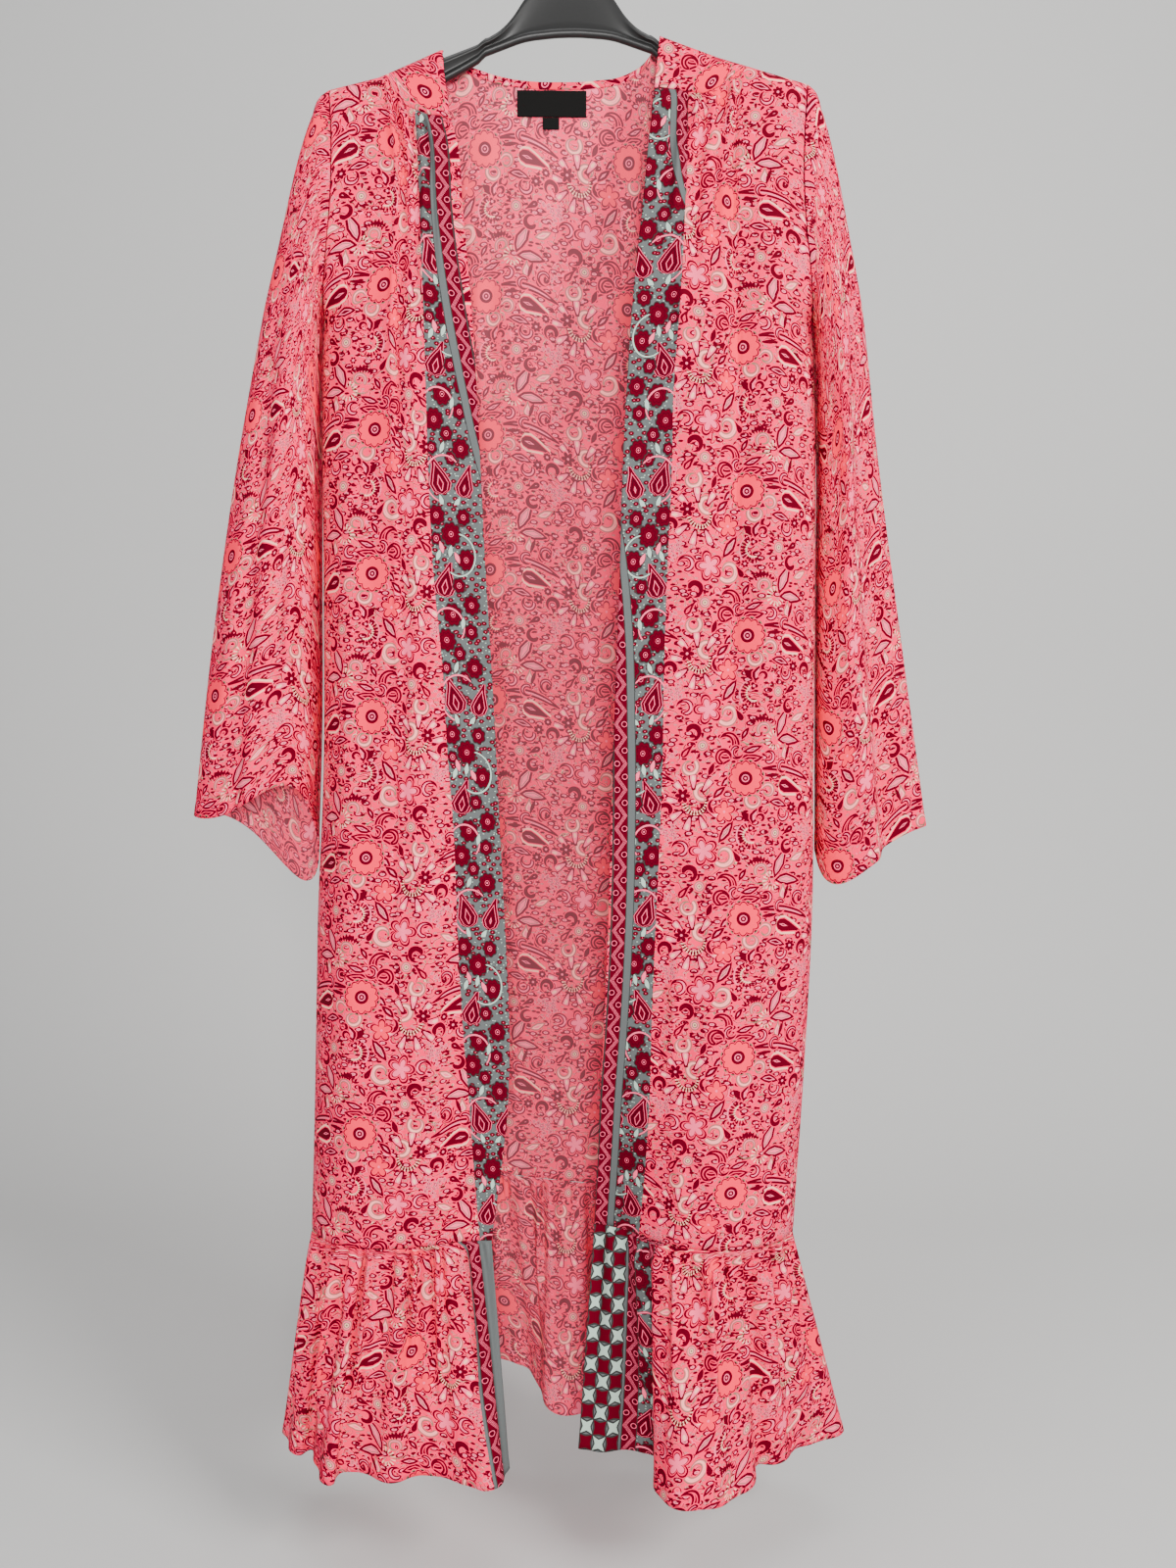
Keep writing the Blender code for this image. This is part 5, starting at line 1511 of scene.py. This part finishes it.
def front_border(side):
    """Maps of a front: distances past the ground line and trim line, and from the open edge."""
    def maps(grid, across, up):
        z = grid[:, :, 2]
        x = grid[:, :, 0]
        ground_x = flow(GROUND_LINE, "z", side, z)
        trim = flow(TRIM_LINE, "z", side, z)
        stretch = across[-1, :] / np.abs(x[-1, :] - x[0, :])
        past_ground = (ground_x - x) * SIGN[side] * stretch[None, :]
        past_trim = np.maximum(trim - across, flow(TOP_TRIM_LINE, "z", side, z) - past_ground)
        return np.stack([past_ground, up], axis=-1), np.stack([past_trim, across], axis=-1)
    return maps


def front_hem(across, up):
    return band(across, FRONT_HEM)


def cuff_hem(across, up):
    return band(up, CUFF_HEM)


def ruffle_hem(across, up):
    return band(up, RUFFLE_HEM)


def ruffle_border(grid, across, up):
    """Maps of a front ruffle: distance from its open edge, and length up from the hem."""
    return np.stack([across, up], axis=-1), np.stack([across, across], axis=-1)


for side in ("right", "left"):
    grid = front_grid(side)
    add_panel(
        "coat_front_" + side, "front_" + side, grid, [front_cloth, inside_cloth], -20,
        edges=front_hem, ground=front_border(side), flip=side == "right",
    )
    grid = yoke_grid(side)
    yoke = add_shell("coat_yoke_" + side, grid, {
        "print": print_map("yoke_" + side, grid, lengths_across(grid), lengths_up(grid)),
    }, SHELL, [plain_cloth, inside_cloth], flip=side == "right")
    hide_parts("yoke_" + side)
    add_panel(
        "coat_sleeve_" + side, "sleeve_" + side, sleeve_grid(side), [plain_cloth, inside_cloth], 66,
        edges=cuff_hem, flip=side == "left",
    )
    add_panel(
        "coat_ruffle_front_" + side, "ruffle_front_" + side, front_ruffle_grid(side),
        [ruffle_cloth[side], inside_cloth], 0,
        edges=ruffle_hem, ground=ruffle_border, flip=side == "right",
    )

add_panel(
    "coat_back", "back", back_grid(), [inside_cloth, plain_cloth], 75,
)
add_panel(
    "coat_ruffle_back", "ruffle_back", back_ruffle_grid(), [inside_cloth, plain_cloth], 215,
    edges=ruffle_hem,
)

grid = binding_grid()
binding = add_shell("coat_neck_binding", grid, {
    "print": print_map("binding", grid, lengths_across(grid), lengths_up(grid)),
}, BINDING_WALL, [plain_cloth])
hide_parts("neck_binding")

for name, node, x_range, z_range, across, down in (
    ("coat_neck_label", "neck_label", LABEL_X, LABEL_Z, 40, 16),
    ("coat_size_tab", "size_tab", TAB_X, TAB_Z, 14, 10),
):
    grid = patch_grid(x_range, z_range, LABEL_LIFT, across, down)
    maps = {"print": np.stack([lengths_across(grid), lengths_up(grid)], axis=-1)}
    label = add_shell(name, grid, maps, RIBBON_WALL, [label_ribbon])
    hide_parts(node)


def hanger_clearance(x):
    """Room between arm and cloth, more beside the neck where the cloth turns down."""
    return HANGER_CLEARANCE + (NECK_CLEARANCE - HANGER_CLEARANCE) * (1.0 - smooth(0.160, 0.175, abs(x)))


def hanger_section(x, top, bottom, top_half):
    """Outline of the hanger across its length: rounded back, hollow side and a round rim."""
    shoulder = min(top_half, top - bottom - RIM_RADIUS * 2.2)
    half = []
    for i in range(9):
        angle = math.radians(90.0 - 90.0 * i / 8)
        half.append((top_half * math.cos(angle), top - shoulder + shoulder * math.sin(angle)))
    neck = (RIM_RADIUS * 0.75, bottom + RIM_RADIUS * 1.9)
    for i in range(1, 9):
        t = i / 8
        y = top_half + (neck[0] - top_half) * t
        z = (top - shoulder) + (neck[1] - (top - shoulder)) * t
        half.append((y - 0.0004 * math.sin(math.pi * t), z))
    for i in range(1, 11):
        angle = math.radians(50.0 - 140.0 * i / 10)
        half.append((RIM_RADIUS * math.cos(angle), bottom + RIM_RADIUS + RIM_RADIUS * math.sin(angle)))
    half[-1] = (0.0, bottom)
    half[0] = (0.0, top)
    ring = half + [(-y, z) for y, z in reversed(half[1:-1])]
    return [(x, y, z) for y, z in ring]


def hanger_rings():
    """Sections of the hanger body from the left arm's end to the right arm's end."""
    rings = []
    for place in np.linspace(HANGER_REACH, -HANGER_REACH, 129):
        x = abs(place)
        tilt = HANGER_TILT * place
        if x < ARM_START:
            sections = HANGER_SECTIONS
            top = float(flow(sections, "x", "top", x)) + tilt
            bottom = float(flow(sections, "x", "bottom", x)) + tilt
            half = float(flow(sections, "x", "top_half", x))
            joined = smooth(0.0660, ARM_START, x)
        else:
            joined = 1.0
            top = bottom = half = 0.0
        height = float(flow(HANGER_ARM, "x", "height", x))
        if NECK_ENDS[0] < place < NECK_ENDS[1]:
            arm_top = ARM_TOP - ARM_SLOPE * (x - ARM_START) + tilt
        else:
            arm_top = float(shoulder_z(place)) - CAD_WALL / 2 - float(hanger_clearance(place))
        radius = float(flow(CREST_RADIUS, "x", "radius", x))
        arm_half = radius - CAD_WALL / 2 - float(hanger_clearance(x))
        top = top + (arm_top - top) * joined
        bottom = bottom + (arm_top - height - bottom) * joined
        half = half + (arm_half - half) * joined
        tip = smooth(0.186, 0.194, x)
        half = half * (1.0 - 0.4 * tip)
        rings.append(hanger_section(float(place), top - 0.005 * tip, bottom + 0.003 * tip, half))
    return rings


def hook_path():
    """Centre line of the hook's wire: a short stem, then most of a circle."""
    radius = HOOK_INNER_RADIUS + HOOK_WIRE_RADIUS
    path = list(zip(HOOK_STEM["x"], HOOK_STEM["z"]))
    for i in range(65):
        angle = math.radians(-62.0 + 262.0 * i / 64)
        path.append((radius * math.cos(angle), radius * math.sin(angle) - HOOK_INNER_RADIUS))
    return path


def wire_rings(path, radius, sides):
    """Rings round a wire whose centre line lies in the hanger's plane, rounded at its end."""
    rings = []
    for i, (x, z) in enumerate(path):
        before = path[max(i - 1, 0)]
        after = path[min(i + 1, len(path) - 1)]
        dx = after[0] - before[0]
        dz = after[1] - before[1]
        length = math.hypot(dx, dz)
        thin = math.sqrt(max(1.0 - max(i - len(path) + 3, 0) ** 2 / 5.0, 0.0))
        ring = []
        for j in range(sides):
            angle = 2.0 * math.pi * j / sides
            out = radius * thin * math.cos(angle)
            ring.append((x + out * dz / length, radius * thin * math.sin(angle), z - out * dx / length))
        rings.append(ring)
    return rings


def add_rings(name, rings, material):
    """Smooth solid body through a row of closed rings, capped at both ends."""
    sides = len(rings[0])
    faces = []
    for i in range(len(rings) - 1):
        for j in range(sides):
            following = (j + 1) % sides
            faces.append((i * sides + j, i * sides + following,
                          (i + 1) * sides + following, (i + 1) * sides + j))
    faces.append(tuple(reversed(range(sides))))
    faces.append(tuple((len(rings) - 1) * sides + j for j in range(sides)))
    mesh = bpy.data.meshes.new(name)
    mesh.from_pydata([tuple(map(float, point)) for ring in rings for point in ring], [], faces)
    mesh.polygons.foreach_set("use_smooth", [True] * len(mesh.polygons))
    mesh.update()
    mesh.materials.append(material)
    piece = bpy.data.objects.new(name, mesh)
    bpy.context.scene.collection.objects.link(piece)
    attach(piece, "root")
    return piece


hanger = add_rings("hanger_shell", hanger_rings(), hanger_plastic)
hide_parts("hanger_body")
hook = add_rings("hook_wire", wire_rings(hook_path(), HOOK_WIRE_RADIUS, 24), hook_steel)
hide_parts("hanger_hook")


def add_sweep():
    """Plain pale floor that curves up into a plain pale backdrop."""
    profile = [(-3.2, FLOOR_Z)]
    for i in range(25):
        angle = math.radians(90.0 * i / 24)
        forward = SWEEP_RADIUS * (1.0 - math.sin(angle))
        profile.append((BACKDROP_Y - forward, FLOOR_Z + SWEEP_RADIUS * (1.0 - math.cos(angle))))
    profile.append((BACKDROP_Y, 2.6))
    points = [(x, y, z) for x in (-4.0, 4.0) for y, z in profile]
    count = len(profile)
    faces = [(i, i + count, i + count + 1, i + 1) for i in range(count - 1)]
    mesh = bpy.data.meshes.new("studio_sweep")
    mesh.from_pydata(points, [], faces)
    mesh.polygons.foreach_set("use_smooth", [True] * len(mesh.polygons))
    mesh.materials.append(stage_paper)
    sweep = bpy.data.objects.new("studio_sweep", mesh)
    bpy.context.scene.collection.objects.link(sweep)


def add_light(name, place, target, size, power, colour):
    """Large soft area light that points at a target."""
    data = bpy.data.lights.new(name, "AREA")
    data.shape = "RECTANGLE"
    data.size = size[0]
    data.size_y = size[1]
    data.energy = power
    data.color = colour
    light = bpy.data.objects.new(name, data)
    light.location = place
    away = Vector(place) - Vector(target)
    light.rotation_mode = "QUATERNION"
    light.rotation_quaternion = away.to_track_quat("Z", "Y")
    bpy.context.scene.collection.objects.link(light)


def add_camera():
    """Camera at the photograph's own place, tilted a little down."""
    data = bpy.data.cameras.new("photo_view")
    data.sensor_width = CAMERA_SENSOR
    data.lens = CAMERA_LENS
    data.clip_start = 0.02
    camera = bpy.data.objects.new("photo_view", data)
    camera.location = CAMERA_PLACE
    tilt = Matrix.Rotation(math.radians(90.0 - CAMERA_TILT), 4, "X")
    roll = Matrix.Rotation(math.radians(CAMERA_ROLL), 4, "Z")
    camera.rotation_euler = (tilt @ roll).to_euler()
    bpy.context.scene.collection.objects.link(camera)
    bpy.context.scene.camera = camera


add_sweep()
add_light("key_light", (2.0, -1.6, 0.8), LIT_MIDDLE, (1.1, 1.1), 112.0, (1.0, 0.985, 0.96))
add_light("front_light", (0.2, -2.6, -0.4), LIT_MIDDLE, (0.7, 0.7), 84.0, (1.0, 0.99, 0.98))
add_light("fill_light", (-1.8, -1.8, 0.1), LIT_MIDDLE, (1.8, 1.8), 26.0, (1.0, 0.99, 0.98))
add_light("top_light", (0.0, -0.2, 1.9), LIT_MIDDLE, (1.8, 1.2), 36.0, (1.0, 1.0, 1.0))
world = bpy.data.worlds.new("studio_world")
bpy.context.scene.world = world
world.use_nodes = True
background = world.node_tree.nodes["Background"]
background.inputs["Color"].default_value = WORLD_COLOUR
background.inputs["Strength"].default_value = WORLD_STRENGTH
add_camera()
